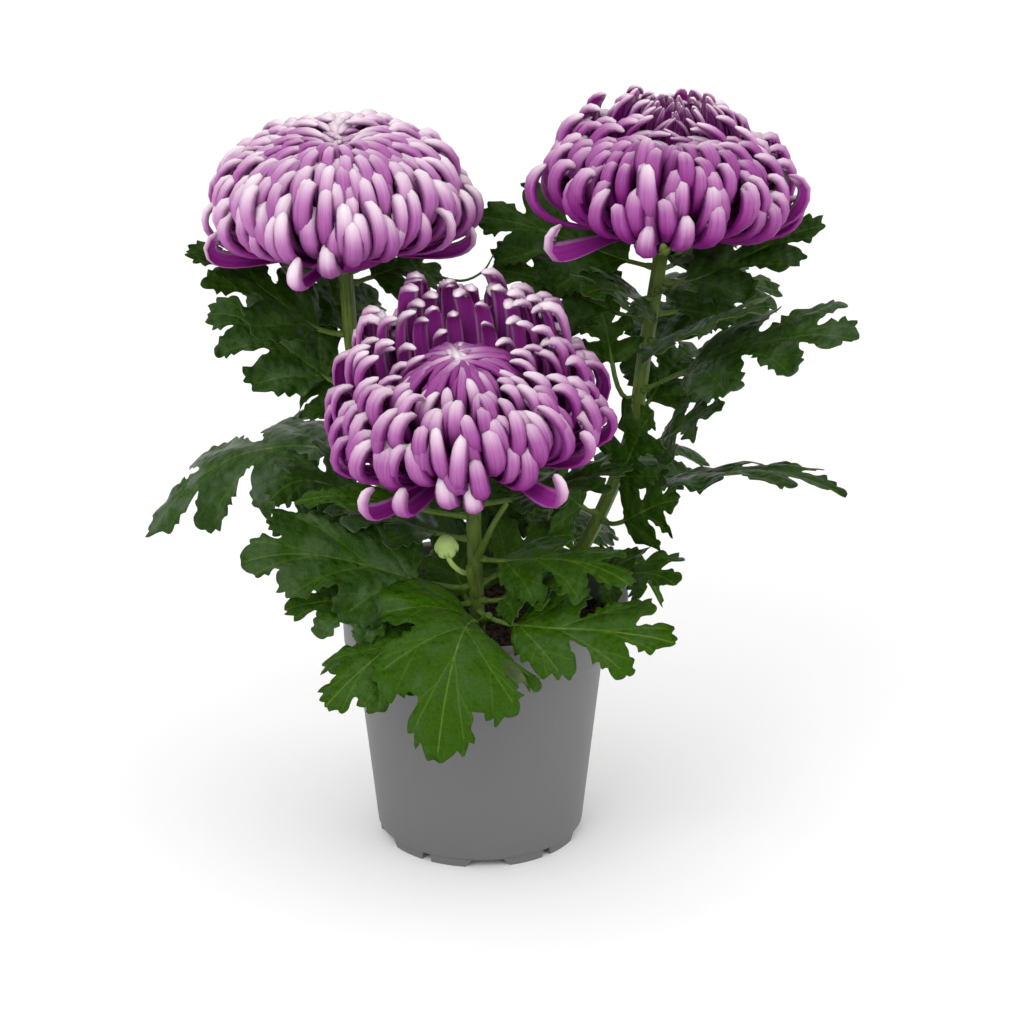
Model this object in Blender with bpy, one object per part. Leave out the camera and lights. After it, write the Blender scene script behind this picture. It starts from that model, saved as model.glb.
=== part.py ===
"""Pot chrysanthemum: three large incurved blooms on leafy stems in a round nursery pot.

A Blender script. Lengths are in millimetres and become metres when a mesh is made. +Z is up, the
origin is where the pot's axis meets the surface that it stands on, and the front faces -Y.
"""

import math
import random

import bmesh
import bpy
from mathutils import Vector
from mathutils.geometry import delaunay_2d_cdt

MM = 0.001
CLEAR = 0.3  # gap between pieces that touch

# Pot: a turned shell with a foot ring, a tapered body, a wider collar and a rolled lip.
POT_HEIGHT = 120.0
POT_WALL = 1.2
FOOT_RADIUS = 48.2
FOOT_HEIGHT = 4.0
BODY_LOW_RADIUS = 49.2
BODY_TOP_RADIUS = 59.0
COLLAR_LOW = 96.5
COLLAR_RADIUS = 64.0
COLLAR_TOP_RADIUS = 64.8
LIP_RADIUS = 70.0
LIP_THICK = 2.4
POT_SIDES = 30
NOTCH_TURN = 4.8  # degrees from the front to the first large notch
NOTCH_WIDE = (25.5, 17.7)  # degrees at the bottom and at the top
NOTCH_SMALL = (6.0, 5.0)
NOTCH_HEIGHT = 3.6
DRAIN_RADIUS = 5.0
DRAIN_RING = 31.0

SOIL_TOP = 104.0
SOIL_SIDES = 24
STEM_DEPTH = 30.0

STEM_RADIUS = 3.2
STALK_CLEAR = 0.7  # from the stem to the end of a leaf's stalk
STEM_SIDES = 8
NECK = 15.0  # straight length of stem under a bloom
CUP = ((-9.0, 3.4), (-5.0, 6.2), (-2.2, 9.6), (0.0, 11.0))  # height from the bloom, radius

# Each plant: its stem from above the soil up to the neck, then its bloom's place and lean.
# Below the first point the stem goes straight down into the soil.
# lean is degrees toward the front and degrees toward +X.
STEMS = {
    "left": {
        "path": ((-30, 20, 112), (-45, 25, 160), (-58, 29, 222)),
        "bloom": (-62, 30, 276),
        "lean": (9, -2),
    },
    "right": {
        "path": ((36, 15, 112), (58, 11, 158), (71, 10, 197), (77, 14, 237)),
        "bloom": (84, 20, 288),
        "lean": (10, 4),
    },
    "front": {
        "path": ((0, -42, 110), (-1, -41, 140), (-2, -40, 170)),
        "bloom": (-3, -43, 205),
        "lean": (14, -4),
    },
}

# Petal layers of a bloom, from the outside in. Each row has the share of the way in, then the
# four control points of the petal's curve as (radius, height) from the bloom's base, and its width.
LAYERS = {
    "left": (
        (0.00, (9, 3), (44, -4), (74, 14), (54, 38), 9.5),
        (0.25, (11, 6), (46, 4), (80, 32), (44, 49), 9.5),
        (0.50, (12, 10), (42, 12), (70, 52), (27, 56), 9.0),
        (0.75, (9, 14), (26, 24), (52, 64), (11, 59), 8.0),
        (1.00, (2, 18), (6, 32), (14, 62), (0, 58), 6.0),
    ),
    "right": (
        (0.00, (9, 4), (44, 1), (71, 18), (58, 39), 9.5),
        (0.22, (11, 7), (48, 6), (73, 32), (51, 51), 9.5),
        (0.42, (12, 9), (42, 12), (62, 50), (42, 58), 9.0),
        (0.60, (10, 13), (28, 20), (50, 56), (24, 54), 8.5),
        (0.80, (8, 15), (20, 24), (36, 62), (8, 54), 7.5),
        (1.00, (2, 18), (6, 30), (12, 58), (0, 51), 6.0),
    ),
    "front": (
        (0.00, (9, 3), (46, -4), (82, 12), (66, 34), 9.5),
        (0.20, (11, 5), (50, 2), (79, 28), (59, 47), 9.5),
        (0.38, (12, 8), (42, 8), (62, 42), (46, 56), 9.0),
        (0.52, (12, 10), (34, 12), (50, 44), (37, 52), 8.5),
        (0.62, (10, 12), (28, 16), (44, 46), (20, 44), 8.0),
        (0.82, (7, 14), (18, 22), (33, 56), (7, 49), 7.5),
        (1.00, (2, 16), (5, 28), (10, 54), (0, 47), 6.0),
    ),
}
# How much taller the petals at the back of a bloom stand than those at its sides.
BACK_RISE = {"left": 0.0, "right": 0.12, "front": 0.26}
BACK_RISE_FROM = 10.0  # height above which a petal is raised
# The heart that the petals grow out of: radius and height.
CORES = {"left": (38, 44), "right": (34, 38), "front": (31, 34)}
CORE_SIDES = 12
PETALS = 68
PETAL_SPREAD = 1.2  # the source has fewer petals than the plant, so each is wider
GOLDEN_ANGLE = 137.508
PETAL_STATIONS = (0.0, 0.42, 0.68, 0.92, 1.0)
PETAL_WIDTHS = (0.5, 0.8, 1.0, 0.8, 0.0)
PETAL_RIDGE = 1.9  # how far the ridge down a petal's back stands out
PETAL_STRETCH = 0.035  # how much a petal's length varies
PETAL_STRAY = 3.0  # degrees by which its bearing varies

# Petals that have dropped out of the ball: bloom, bearing from +X in degrees, the curve as
# (radius, height) points, and width.
STRAYS = (
    ("front", -128, (9, 2), (42, -10), (80, -2), (70, 20), 9.0),
    ("front", -110, (9, 2), (38, -8), (64, -6), (58, 12), 9.0),
    ("front", -92, (9, 3), (40, 14), (72, 34), (64, 8), 11.0),
    ("front", -54, (9, 2), (38, -6), (76, -8), (76, 18), 9.5),
    ("left", -12, (9, 2), (36, 0), (60, -2), (66, 12), 8.5),
    ("left", -95, (9, 2), (38, -2), (66, 2), (60, 22), 10.0),
    ("right", -140, (9, 2), (40, -4), (70, 0), (72, 18), 11.0),
    ("right", -100, (9, 2), (40, 0), (68, 8), (58, 26), 10.5),
)

# Leaves: name, stem, height on the stem, tip (x, y, z), bow of the spine above its chord, blade
# width, the way the upper face looks (bearing from +X, elevation), the degrees that each half
# rises from the midrib, and the petiole's length.
LEAVES = (
    ("left_01", "left", 238, (-135, 30, 277), 8, 46, (-100, 66), 12, 14),
    ("left_02", "left", 213, (-129, 58, 238), 10, 50, (-100, 40), 14, 16),
    ("left_03", "left", 262, (-19, 56, 254), 8, 42, (-90, 50), 14, 12),
    ("left_04", "left", 200, (-86, 48, 204), 8, 40, (-90, 50), 14, 10),
    ("left_05", "left", 184, (-163, 60, 124), 22, 54, (-112, 56), -14, 24),
    ("left_06", "left", 160, (-97, -6, 168), 12, 44, (-95, 40), -8, 14),
    ("left_07", "left", 138, (-99, 4, 150), 8, 40, (-90, 40), 14, 14),
    ("left_08", "left", 232, (-84, 104, 262), 8, 50, (100, 60), 10, 16),
    ("left_09", "left", 176, (-84, 108, 172), 14, 50, (120, 60), -8, 18),
    ("left_10", "left", 196, (-14, 108, 206), 12, 50, (80, 60), 10, 18),
    ("left_11", "left", 130, (-62, 100, 104), 24, 48, (120, 55), -10, 22),
    ("left_12", "left", 146, (20, 0, 160), 8, 46, (-90, 44), 10, 14),
    ("left_13", "left", 122, (16, 56, 126), 10, 46, (-90, 56), 6, 20),
    ("front_01", "front", 140, (-106, -58, 158), 10, 52, (-100, 46), 12, 28),
    ("front_02", "front", 163, (-70, -30, 172), 5, 36, (-95, 80), 10, 16),
    ("front_03", "front", 132, (-87, -62, 137), 5, 44, (-95, 54), 12, 36),
    ("front_04", "front", 122, (-18, -104, 82), 22, 76, (-85, 36), 0, 18),
    ("front_05", "front", 118, (-68, -90, 102), 8, 44, (-112, 40), -6, 34),
    ("front_06", "front", 129, (88, -84, 130), 3, 42, (-80, 44), 0, 26),
    ("front_07", "front", 154, (68, -90, 160), 8, 36, (-90, 55), -10, 12),
    ("front_08", "front", 134, (45, -75, 151), 6, 32, (-90, 62), 10, 12),
    ("front_09", "front", 174, (-83, -40, 180), 6, 24, (-95, 62), 10, 24),
    ("front_10", "front", 180, (70, -42, 197), 3, 36, (-90, 80), 10, 16),
    ("front_11", "front", 141, (44, -4, 150), 6, 42, (-90, 44), 10, 14),
    ("front_12", "front", 127, (-20, 0, 142), 7, 40, (-90, 46), 10, 12),
    ("right_01", "right", 266, (159, 26, 291), 3, 38, (-95, 50), 10, 12),
    ("right_02", "right", 272, (118, 82, 276), 4, 34, (-90, 50), 10, 12),
    ("right_03", "right", 262, (97, -22, 274), 3, 16, (-90, 70), 8, 8),
    ("right_04", "right", 240, (126, -50, 272), 5, 46, (-95, 76), 10, 6),
    ("right_05", "right", 252, (142, 62, 248), 8, 46, (-95, 66), 10, 14),
    ("right_06", "right", 218, (167, -52, 261), 9, 60, (-92, 66), 10, 30),
    ("right_07", "right", 191, (110, -22, 218), 4, 40, (-90, 66), 10, 18),
    ("right_08", "right", 206, (104, 70, 217), 6, 42, (-90, 50), 10, 14),
    ("right_09", "right", 176, (79, -34, 222), 3, 32, (-100, 30), 12, 12),
    ("right_10", "right", 178, (165, -42, 183), 12, 44, (90, 84), 10, 26),
    ("right_11", "right", 154, (92, -17, 172), 3, 36, (-92, 28), 10, 16),
    ("right_12", "right", 130, (90, -42, 141), 5, 34, (-92, 50), 8, 22),
    ("right_13", "right", 258, (47, -26, 273), 4, 40, (-95, 56), 8, 6),
    ("right_14", "right", 272, (-1, 60, 286), 3, 52, (-92, 38), 12, 14),
    ("right_15", "right", 248, (6, 46, 264), 4, 44, (-92, 48), 12, 14),
    ("right_16", "right", 212, (56, 4, 256), 3, 30, (-100, 24), 12, 24),
    ("right_17", "right", 128, (86, 0, 112), 20, 16, (-60, 40), 8, 14),
    ("right_18", "right", 232, (112, 106, 244), 10, 50, (80, 60), 10, 18),
    ("right_19", "right", 166, (100, 100, 152), 14, 50, (60, 60), -6, 20),
    ("right_21", "right", 140, (-26, 62, 152), 10, 48, (-90, 52), 8, 16),
    ("right_22", "right", 156, (26, -24, 184), 4, 36, (-90, 36), 10, 12),
    ("right_20", "right", 130, (40, 114, 104), 24, 48, (80, 52), -10, 22),
)

# Where a stalk heads for when it leaves the stem, if not straight for its leaf's tip.
STALK_AIMS = {
    "front_04": (-1, -72, 141),
    "front_05": (-24, -62, 136),
    "front_06": (14, -82, 132),
    "right_06": (97, -11, 234),
}

# Right half of a blade of unit length: along the midrib, then across as a share of the width.
HALF_BLADE = (
    (0.02, 0.08),
    (0.05, 0.26),
    (0.20, 0.42),
    (0.35, 0.50),
    (0.42, 0.41),
    (0.37, 0.17),
    (0.52, 0.29),
    (0.68, 0.40),
    (0.76, 0.32),
    (0.68, 0.12),
    (0.82, 0.19),
    (0.91, 0.12),
)
SMALL_HALF_BLADE = ((0.04, 0.16), (0.18, 0.50), (0.36, 0.20), (0.52, 0.42), (0.68, 0.16), (0.86, 0.20))
SMALL_BLADE_WIDTH = 30.0
LEAF_SKEW = 0.03  # how far the left lobes sit ahead of the right ones
LEAF_THICK = 0.8
PETIOLE_WIDTH = 2.6
PETIOLE_THICK = 2.0
LEAF_DROOP = 0.30  # how far the margins curl down again, a share of the half width
MIDRIB_POINTS = 6
STALK_REACH = 0.25  # how far a stalk keeps its first heading, a share of the leaf
BOW_PLACE = 0.62  # where along the leaf its bow is pulled up

BUD_STEM_HEIGHT = 147.0
BUD_PLACE = (-14, -58, 166)
BUD_RADIUS = 4.6
BUD_STALK = 1.2  # radius

COLOURS = {
    "pot": (0.19, 0.19, 0.20, 0.55),
    "soil": (0.020, 0.014, 0.010, 0.95),
    "stem": (0.13, 0.22, 0.035, 0.5),
    "leaf": (0.022, 0.070, 0.018, 0.42),
    "petal": (0.58, 0.25, 0.60, 0.6),
    "bud": (0.30, 0.42, 0.12, 0.55),
}


def clear_scene():
    for obj in list(bpy.data.objects):
        bpy.data.objects.remove(obj, do_unlink=True)


def material(name):
    """A Principled material with this part's colour and roughness."""
    found = bpy.data.materials.get(name)
    if found:
        return found
    red, green, blue, rough = COLOURS[name]
    made = bpy.data.materials.new(name)
    made.use_nodes = True
    shader = made.node_tree.nodes["Principled BSDF"]
    shader.inputs["Base Color"].default_value = (red, green, blue, 1.0)
    shader.inputs["Roughness"].default_value = rough
    shader.inputs["Metallic"].default_value = 0.0
    return made


def new_object(name, points, faces, look, collection=None):
    """A mesh object from points in millimetres, with its faces turned to point out."""
    mesh = bpy.data.meshes.new(name)
    mesh.from_pydata([Vector(p) * MM for p in points], [], faces)
    mesh.materials.append(material(look))
    work = bmesh.new()
    work.from_mesh(mesh)
    bmesh.ops.recalc_face_normals(work, faces=work.faces)
    work.to_mesh(mesh)
    work.free()
    obj = bpy.data.objects.new(name, mesh)
    (collection or bpy.context.scene.collection).objects.link(obj)
    return obj


def turned(profile, sides):
    """Points and faces of a closed profile of (radius, height) turned round +Z. A profile may
    start and end on the axis."""
    points = []
    rings = []
    for radius, height in profile:
        if radius == 0:
            rings.append([len(points)] * sides)
            points.append((0.0, 0.0, height))
            continue
        rings.append(list(range(len(points), len(points) + sides)))
        for k in range(sides):
            angle = 2 * math.pi * k / sides
            points.append((radius * math.cos(angle), radius * math.sin(angle), height))
    faces = []
    closed = profile[0][0] > 0
    pairs = list(zip(rings, rings[1:])) + ([(rings[-1], rings[0])] if closed else [])
    for low, high in pairs:
        for k in range(sides):
            n = (k + 1) % sides
            corners = (low[k], low[n], high[n], high[k])
            face = [c for i, c in enumerate(corners) if c != corners[i - 1]]
            if len(face) > 2:
                faces.append(face)
    return points, faces


def smooth_path(knots, steps):
    """Points on a Catmull-Rom curve through the knots."""
    knots = [Vector(k) for k in knots]
    ends = [2 * knots[0] - knots[1]] + knots + [2 * knots[-1] - knots[-2]]
    path = []
    for a, b, c, d in zip(ends, ends[1:], ends[2:], ends[3:]):
        for k in range(steps):
            t = k / steps
            bend = (2 * a - 5 * b + 4 * c - d) * t**2 + (3 * b - 3 * c + d - a) * t**3
            path.append(b + (c - a) * t / 2 + bend / 2)
    return path + [knots[-1]]


def tube(path, radii, sides):
    """Points and faces of a closed tube along the path, with flat ends."""
    points = []
    faces = []
    across = Vector((1, 0, 0))
    for k, centre in enumerate(path):
        ahead = path[min(k + 1, len(path) - 1)] - path[max(k - 1, 0)]
        if k == len(path) - 1:
            ahead = path[k] - path[k - 1]
        ahead.normalize()
        across = (across - across.dot(ahead) * ahead).normalized()
        other = ahead.cross(across)
        for j in range(sides):
            angle = 2 * math.pi * j / sides
            points.append(centre + radii[k] * (math.cos(angle) * across + math.sin(angle) * other))
    for k in range(len(path) - 1):
        for j in range(sides):
            n = (j + 1) % sides
            faces.append((k * sides + j, k * sides + n, (k + 1) * sides + n, (k + 1) * sides + j))
    faces.append(tuple(range(sides))[::-1])
    last = (len(path) - 1) * sides
    faces.append(tuple(range(last, last + sides)))
    return points, faces


def apply_boolean(obj, operation, solver, cutter=None, collection=None):
    """Joins or cuts by one Boolean, keeps the result and removes what it used."""
    modifier = obj.modifiers.new("boolean", "BOOLEAN")
    modifier.operation = operation
    modifier.solver = solver
    if collection:
        modifier.operand_type = "COLLECTION"
        modifier.collection = collection
    else:
        modifier.object = cutter
    graph = bpy.context.evaluated_depsgraph_get()
    mesh = bpy.data.meshes.new_from_object(obj.evaluated_get(graph))
    obj.modifiers.clear()
    obj.data = mesh
    used = list(collection.objects) if collection else [cutter]
    for item in used:
        bpy.data.objects.remove(item, do_unlink=True)
    if collection:
        bpy.data.collections.remove(collection)


def keep_largest_shell(obj):
    """Drops sealed hollows and loose scraps that a union leaves."""
    work = bmesh.new()
    work.from_mesh(obj.data)
    work.verts.ensure_lookup_table()
    seen = set()
    shells = []
    for start in work.verts:
        if start in seen:
            continue
        shell = []
        seen.add(start)
        queue = [start]
        while queue:
            vert = queue.pop()
            shell.append(vert)
            for edge in vert.link_edges:
                other = edge.other_vert(vert)
                if other not in seen:
                    seen.add(other)
                    queue.append(other)
        shells.append(shell)
    shells.sort(key=len, reverse=True)
    for shell in shells[1:]:
        bmesh.ops.delete(work, geom=shell, context="VERTS")
    work.to_mesh(obj.data)
    work.free()


def shade(obj, angle=40):
    obj.data.shade_smooth()
    obj.data.set_sharp_from_angle(angle=math.radians(angle))


# Pot and soil


def pot_inner_radius(height):
    """Radius of the inside of the tapered body."""
    share = (height - FOOT_HEIGHT) / (COLLAR_LOW - FOOT_HEIGHT)
    return BODY_LOW_RADIUS + share * (BODY_TOP_RADIUS - BODY_LOW_RADIUS) - POT_WALL


def pot_profile():
    """The pot's closed section, from the underside's middle round the outside and back in."""
    floor_top = FOOT_HEIGHT + POT_WALL
    inner_step = COLLAR_LOW + POT_WALL
    return (
        (0.0, FOOT_HEIGHT),
        (FOOT_RADIUS - 1.6, FOOT_HEIGHT),
        (FOOT_RADIUS - 1.6, 0.0),
        (FOOT_RADIUS, 0.0),
        (FOOT_RADIUS + 0.2, FOOT_HEIGHT),
        (BODY_LOW_RADIUS, FOOT_HEIGHT + 0.6),
        (BODY_TOP_RADIUS, COLLAR_LOW),
        (COLLAR_RADIUS, COLLAR_LOW + 0.8),
        (COLLAR_TOP_RADIUS, POT_HEIGHT - LIP_THICK),
        (LIP_RADIUS, POT_HEIGHT - LIP_THICK),
        (LIP_RADIUS, POT_HEIGHT - 0.6),
        (LIP_RADIUS - 0.8, POT_HEIGHT),
        (COLLAR_TOP_RADIUS - POT_WALL, POT_HEIGHT),
        (COLLAR_RADIUS - POT_WALL, inner_step + 0.8),
        (pot_inner_radius(inner_step), inner_step),
        (pot_inner_radius(floor_top), floor_top),
        (0.0, floor_top),
    )


def wedge(turn, wide):
    """A block that cuts one notch through the foot ring: a trapezoid seen from outside."""
    points = []
    for radius in (FOOT_RADIUS - 4.0, FOOT_RADIUS + 3.0):
        for height, width in ((-1.0, wide[0]), (NOTCH_HEIGHT, wide[1])):
            for side in (-0.5, 0.5):
                angle = math.radians(-90 + turn + side * width)
                points.append((radius * math.cos(angle), radius * math.sin(angle), height))
    faces = ((0, 1, 3, 2), (4, 6, 7, 5), (0, 4, 5, 1), (2, 3, 7, 6), (0, 2, 6, 4), (1, 5, 7, 3))
    return points, faces


def add_pot():
    pot = new_object("pot", *turned(pot_profile(), POT_SIDES), "pot")
    cutters = bpy.data.collections.new("pot_cutters")
    bpy.context.scene.collection.children.link(cutters)
    for k in range(5):
        new_object("notch", *wedge(NOTCH_TURN + 72 * k, NOTCH_WIDE), "pot", cutters)
        new_object("notch", *wedge(NOTCH_TURN + 36 + 72 * k, NOTCH_SMALL), "pot", cutters)
        angle = math.radians(72 * k + 18)
        centre = (DRAIN_RING * math.cos(angle), DRAIN_RING * math.sin(angle))
        new_object("drain", *drain(centre), "pot", cutters)
    new_object("drain", *drain((0.0, 0.0)), "pot", cutters)
    apply_boolean(pot, "DIFFERENCE", "EXACT", collection=cutters)
    shade(pot)


def drain(centre):
    path = [Vector((*centre, FOOT_HEIGHT - 2)), Vector((*centre, FOOT_HEIGHT + 4))]
    return tube(path, [DRAIN_RADIUS] * 2, 10)


def soil_height(radius, angle):
    """The soil's surface: a low mound with a few hollows."""
    share = radius / COLLAR_RADIUS
    return SOIL_TOP + 2.0 * (1 - share**2) + 0.9 * math.sin(3 * angle + 1.0) * share


def add_soil():
    """Soil that fills the pot's inside, with a hole where each stem stands."""
    floor = FOOT_HEIGHT + POT_WALL + CLEAR
    step = COLLAR_LOW + POT_WALL
    profile = (
        (0.0, floor),
        (pot_inner_radius(floor) - CLEAR - 0.3, floor),
        (pot_inner_radius(step) - CLEAR - 0.6, step + 0.4),
        (COLLAR_RADIUS - POT_WALL - CLEAR - 0.6, step + 1.6),
        (COLLAR_RADIUS - POT_WALL - CLEAR - 0.6, SOIL_TOP),
        (36.0, SOIL_TOP),
        (0.0, SOIL_TOP),
    )
    points, faces = turned(profile, SOIL_SIDES)
    shaped = []
    for x, y, z in points:
        radius = math.hypot(x, y)
        shaped.append((x, y, soil_height(radius, math.atan2(y, x)) if z == SOIL_TOP else z))
    soil = new_object("soil", shaped, faces, "soil")
    holes = bpy.data.collections.new("soil_holes")
    bpy.context.scene.collection.children.link(holes)
    for plant in STEMS.values():
        x, y, _ = plant["path"][0]
        path = [Vector((x, y, SOIL_TOP - STEM_DEPTH - CLEAR)), Vector((x, y, SOIL_TOP + 9))]
        radius = (STEM_RADIUS + 2 * CLEAR) / math.cos(math.pi / STEM_SIDES)
        new_object("hole", *tube(path, [radius] * 2, STEM_SIDES), "soil", holes)
    apply_boolean(soil, "DIFFERENCE", "EXACT", collection=holes)
    shade(soil)


# Stems


def bloom_axis(plant):
    """The way a bloom looks, from its lean toward the front and toward +X."""
    front, side = (math.radians(a) for a in plant["lean"])
    return Vector((math.sin(side), -math.sin(front), math.cos(front) * math.cos(side))).normalized()


def stem_path(plant):
    """The stem's centre line from the bottom of its hole to just under the bloom."""
    x, y, _ = plant["path"][0]
    neck = Vector(plant["bloom"]) - bloom_axis(plant) * NECK
    return [Vector((x, y, SOIL_TOP - STEM_DEPTH)), *smooth_path([*plant["path"], neck], 3)]


def stem_at(plant, height):
    """The centre of the stem at a height, and the stem's own direction there."""
    path = stem_path(plant)
    for low, high in zip(path, path[1:]):
        if high.z >= height:
            share = (height - low.z) / (high.z - low.z)
            return low.lerp(high, share), (high - low).normalized()
    return path[-1], (path[-1] - path[-2]).normalized()


def add_stem(name, plant):
    """A stem that widens into the green cup under its bloom."""
    path = stem_path(plant)
    radii = [STEM_RADIUS] * len(path)
    axis = bloom_axis(plant)
    for height, radius in CUP:
        path.append(Vector(plant["bloom"]) + axis * (height - CLEAR))
        radii.append(radius)
    stem = new_object(f"stem_{name}", *tube(path, radii, STEM_SIDES), "stem")
    shade(stem)


# Blooms


def frame_of(axis):
    """Two directions square to the axis, the first as near +X as can be."""
    first = (Vector((1, 0, 0)) - axis.x * axis).normalized()
    return first, axis.cross(first)


def layer_at(rows, share):
    """The petal curve and width at a share of the way in, between the rows of a table."""
    for low, high in zip(rows, rows[1:]):
        if share <= high[0]:
            t = (share - low[0]) / (high[0] - low[0])
            curve = [Vector(a).lerp(Vector(b), t) for a, b in zip(low[1:5], high[1:5])]
            return curve, low[5] + t * (high[5] - low[5])
    return [Vector(a) for a in rows[-1][1:5]], rows[-1][5]


def bezier(curve, t):
    """The point of a cubic Bezier curve, and its direction."""
    a, b, c, d = curve
    s = 1 - t
    point = s**3 * a + 3 * s * s * t * b + 3 * s * t * t * c + t**3 * d
    ahead = 3 * s * s * (b - a) + 6 * s * t * (c - b) + 3 * t * t * (d - c)
    return point, ahead.normalized()


def petal(curve, width, bearing, place):
    """A blade with a ridge down its back: flat inside, and blunt at the tip."""
    around = math.radians(bearing)
    points = []
    faces = []

    def lift(flat, side):
        """A point given as (radius, height) and a sideways shift, in the bloom's frame."""
        x = flat.x * math.cos(around) - side * math.sin(around)
        y = flat.x * math.sin(around) + side * math.cos(around)
        return place((x, y, flat.y))

    for t, share in zip(PETAL_STATIONS, PETAL_WIDTHS):
        centre, ahead = bezier(curve, t)
        back = Vector((ahead.y, -ahead.x))
        if share == 0:
            points.append(lift(centre, 0))
            continue
        half = width * share / 2
        points += [lift(centre, -half), lift(centre + back * PETAL_RIDGE, 0), lift(centre, half)]
    rings = len(PETAL_STATIONS) - 1
    for k in range(rings - 1):
        for j in range(3):
            n = (j + 1) % 3
            faces.append((3 * k + j, 3 * k + n, 3 * k + 3 + n, 3 * k + 3 + j))
    tip = 3 * rings
    faces += [(tip - 3 + j, tip - 3 + (j + 1) % 3, tip) for j in range(3)]
    faces.append((0, 1, 2))
    return points, faces


def add_bloom(name, plant):
    """A core with rings of petals grown out of it, joined into one solid."""
    axis = bloom_axis(plant)
    first, second = frame_of(axis)
    base = Vector(plant["bloom"])

    def place(point):
        return base + first * point[0] + second * point[1] + axis * point[2]

    radius, height = CORES[name]
    profile = [(0.0, 0.0), (radius * 0.55, 2.0)]
    profile += [
        (radius * math.cos(a), height * (0.42 + 0.58 * math.sin(a)))
        for a in (math.radians(d) for d in (-25, 10, 40, 68))
    ]
    profile.append((0.0, height))
    points, faces = turned(profile, CORE_SIDES)
    bloom = new_object(f"bloom_{name}", [place(p) for p in points], faces, "petal")
    petals = bpy.data.collections.new("petals")
    bpy.context.scene.collection.children.link(petals)
    random_source = random.Random(f"bloom {name}")
    for k in range(PETALS):
        share = k / (PETALS - 1)
        curve, width = layer_at(LAYERS[name], share)
        stretch = 1 + random_source.uniform(-PETAL_STRETCH, PETAL_STRETCH)
        bearing = k * GOLDEN_ANGLE + random_source.uniform(-PETAL_STRAY, PETAL_STRAY)
        rise = 1 + BACK_RISE[name] * math.sin(math.radians(bearing)) * (1 - share)
        curve = [Vector((p.x * stretch, p.y * (rise if p.y > BACK_RISE_FROM else 1))) for p in curve]
        new_object("petal", *petal(curve, width * PETAL_SPREAD, bearing, place), "petal", petals)
    for owner, bearing, *curve, width in STRAYS:
        if owner == name:
            curve = [Vector(p) for p in curve]
            new_object("petal", *petal(curve, width, bearing, place), "petal", petals)
    apply_boolean(bloom, "UNION", "MANIFOLD", collection=petals)
    keep_largest_shell(bloom)
    shade(bloom)


# Leaves


def leaf_outline(length, width, petiole):
    """The flat outline as (along, across) points, counter-clockwise, and the midrib's points."""
    half = SMALL_HALF_BLADE if width < SMALL_BLADE_WIDTH else HALF_BLADE
    right = [(a * length, -b * width) for a, b in half]
    left = [((a + LEAF_SKEW) * length, b * width) for a, b in half]
    stalk = PETIOLE_WIDTH / 2
    outline = [(-petiole, -stalk), (-petiole / 2, -stalk), (0.0, -stalk)]
    outline += right + [(length, 0.0)] + left[::-1]
    outline += [(0.0, stalk), (-petiole / 2, stalk), (-petiole, stalk)]
    midrib = [(length * k / MIDRIB_POINTS, 0.0) for k in range(MIDRIB_POINTS)]
    return outline, midrib


def leaf_spine(name, start, heading, tip, bow):
    """The curve of the leaf's midrib, square to the stem where it leaves it."""
    if name in STALK_AIMS:
        near = Vector(STALK_AIMS[name])
    else:
        near = start + heading * (tip - start).length * STALK_REACH
    far = start.lerp(tip, BOW_PLACE) + Vector((0, 0, bow * 2))
    return start, near, far, tip


def spine_length(curve):
    steps = [bezier(curve, k / 24)[0] for k in range(25)]
    return sum((b - a).length for a, b in zip(steps, steps[1:]))


def add_leaf(row):
    """A lobed blade and its petiole: one thin solid, folded along the midrib and bowed."""
    name, stem, height, tip, bow, width, (bearing, elevation), fold, petiole = row
    centre, along_stem = stem_at(STEMS[stem], height)
    toward = Vector(STALK_AIMS.get(name, tip)) - centre
    heading = (toward - toward.dot(along_stem) * along_stem).normalized()
    start = centre + heading * (STEM_RADIUS + STALK_CLEAR)
    curve = leaf_spine(name, start, heading, Vector(tip), bow)
    total = spine_length(curve)
    length = total - petiole
    bearing, elevation = math.radians(bearing), math.radians(elevation)
    looks = Vector(
        (
            math.cos(bearing) * math.cos(elevation),
            math.sin(bearing) * math.cos(elevation),
            math.sin(elevation),
        )
    )
    outline, midrib = leaf_outline(length, width, petiole)
    flat = outline + midrib
    count = len(outline)
    edges = [(k, (k + 1) % count) for k in range(count)]
    tip_index = count // 2
    rib = list(range(count, count + len(midrib))) + [tip_index]
    edges += list(zip(rib, rib[1:]))
    flat, _, faces, *_ = delaunay_2d_cdt([Vector(p) for p in flat], edges, [list(range(count))], 1, 1e-4)
    fold = math.radians(fold)
    middle = []
    for a, b in flat:
        point, ahead = bezier(curve, (a + petiole) / total)
        side = ahead.cross(looks).normalized()
        normal = side.cross(ahead)
        across = abs(b)
        curl = math.sin(fold) * across - LEAF_DROOP * across**2 / (width / 2)
        middle.append((point - side * b * math.cos(fold) + normal * curl, normal, a))
    points = []
    for sign in (1, -1):
        for point, normal, a in middle:
            thick = PETIOLE_THICK if a <= 0 else LEAF_THICK
            points.append(point + normal * sign * thick / 2)
    under = len(middle)
    solid = [tuple(f) for f in faces] + [tuple(v + under for v in reversed(f)) for f in faces]
    edges = {(v, w) for face in faces for v, w in zip(face, face[1:] + face[:1])}
    for v, w in sorted(edges):
        if (w, v) not in edges:
            solid.append((w, v, v + under, w + under))
    leaf = new_object(f"leaf_{name}", points, solid, "leaf")
    shade(leaf, 60)


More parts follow.
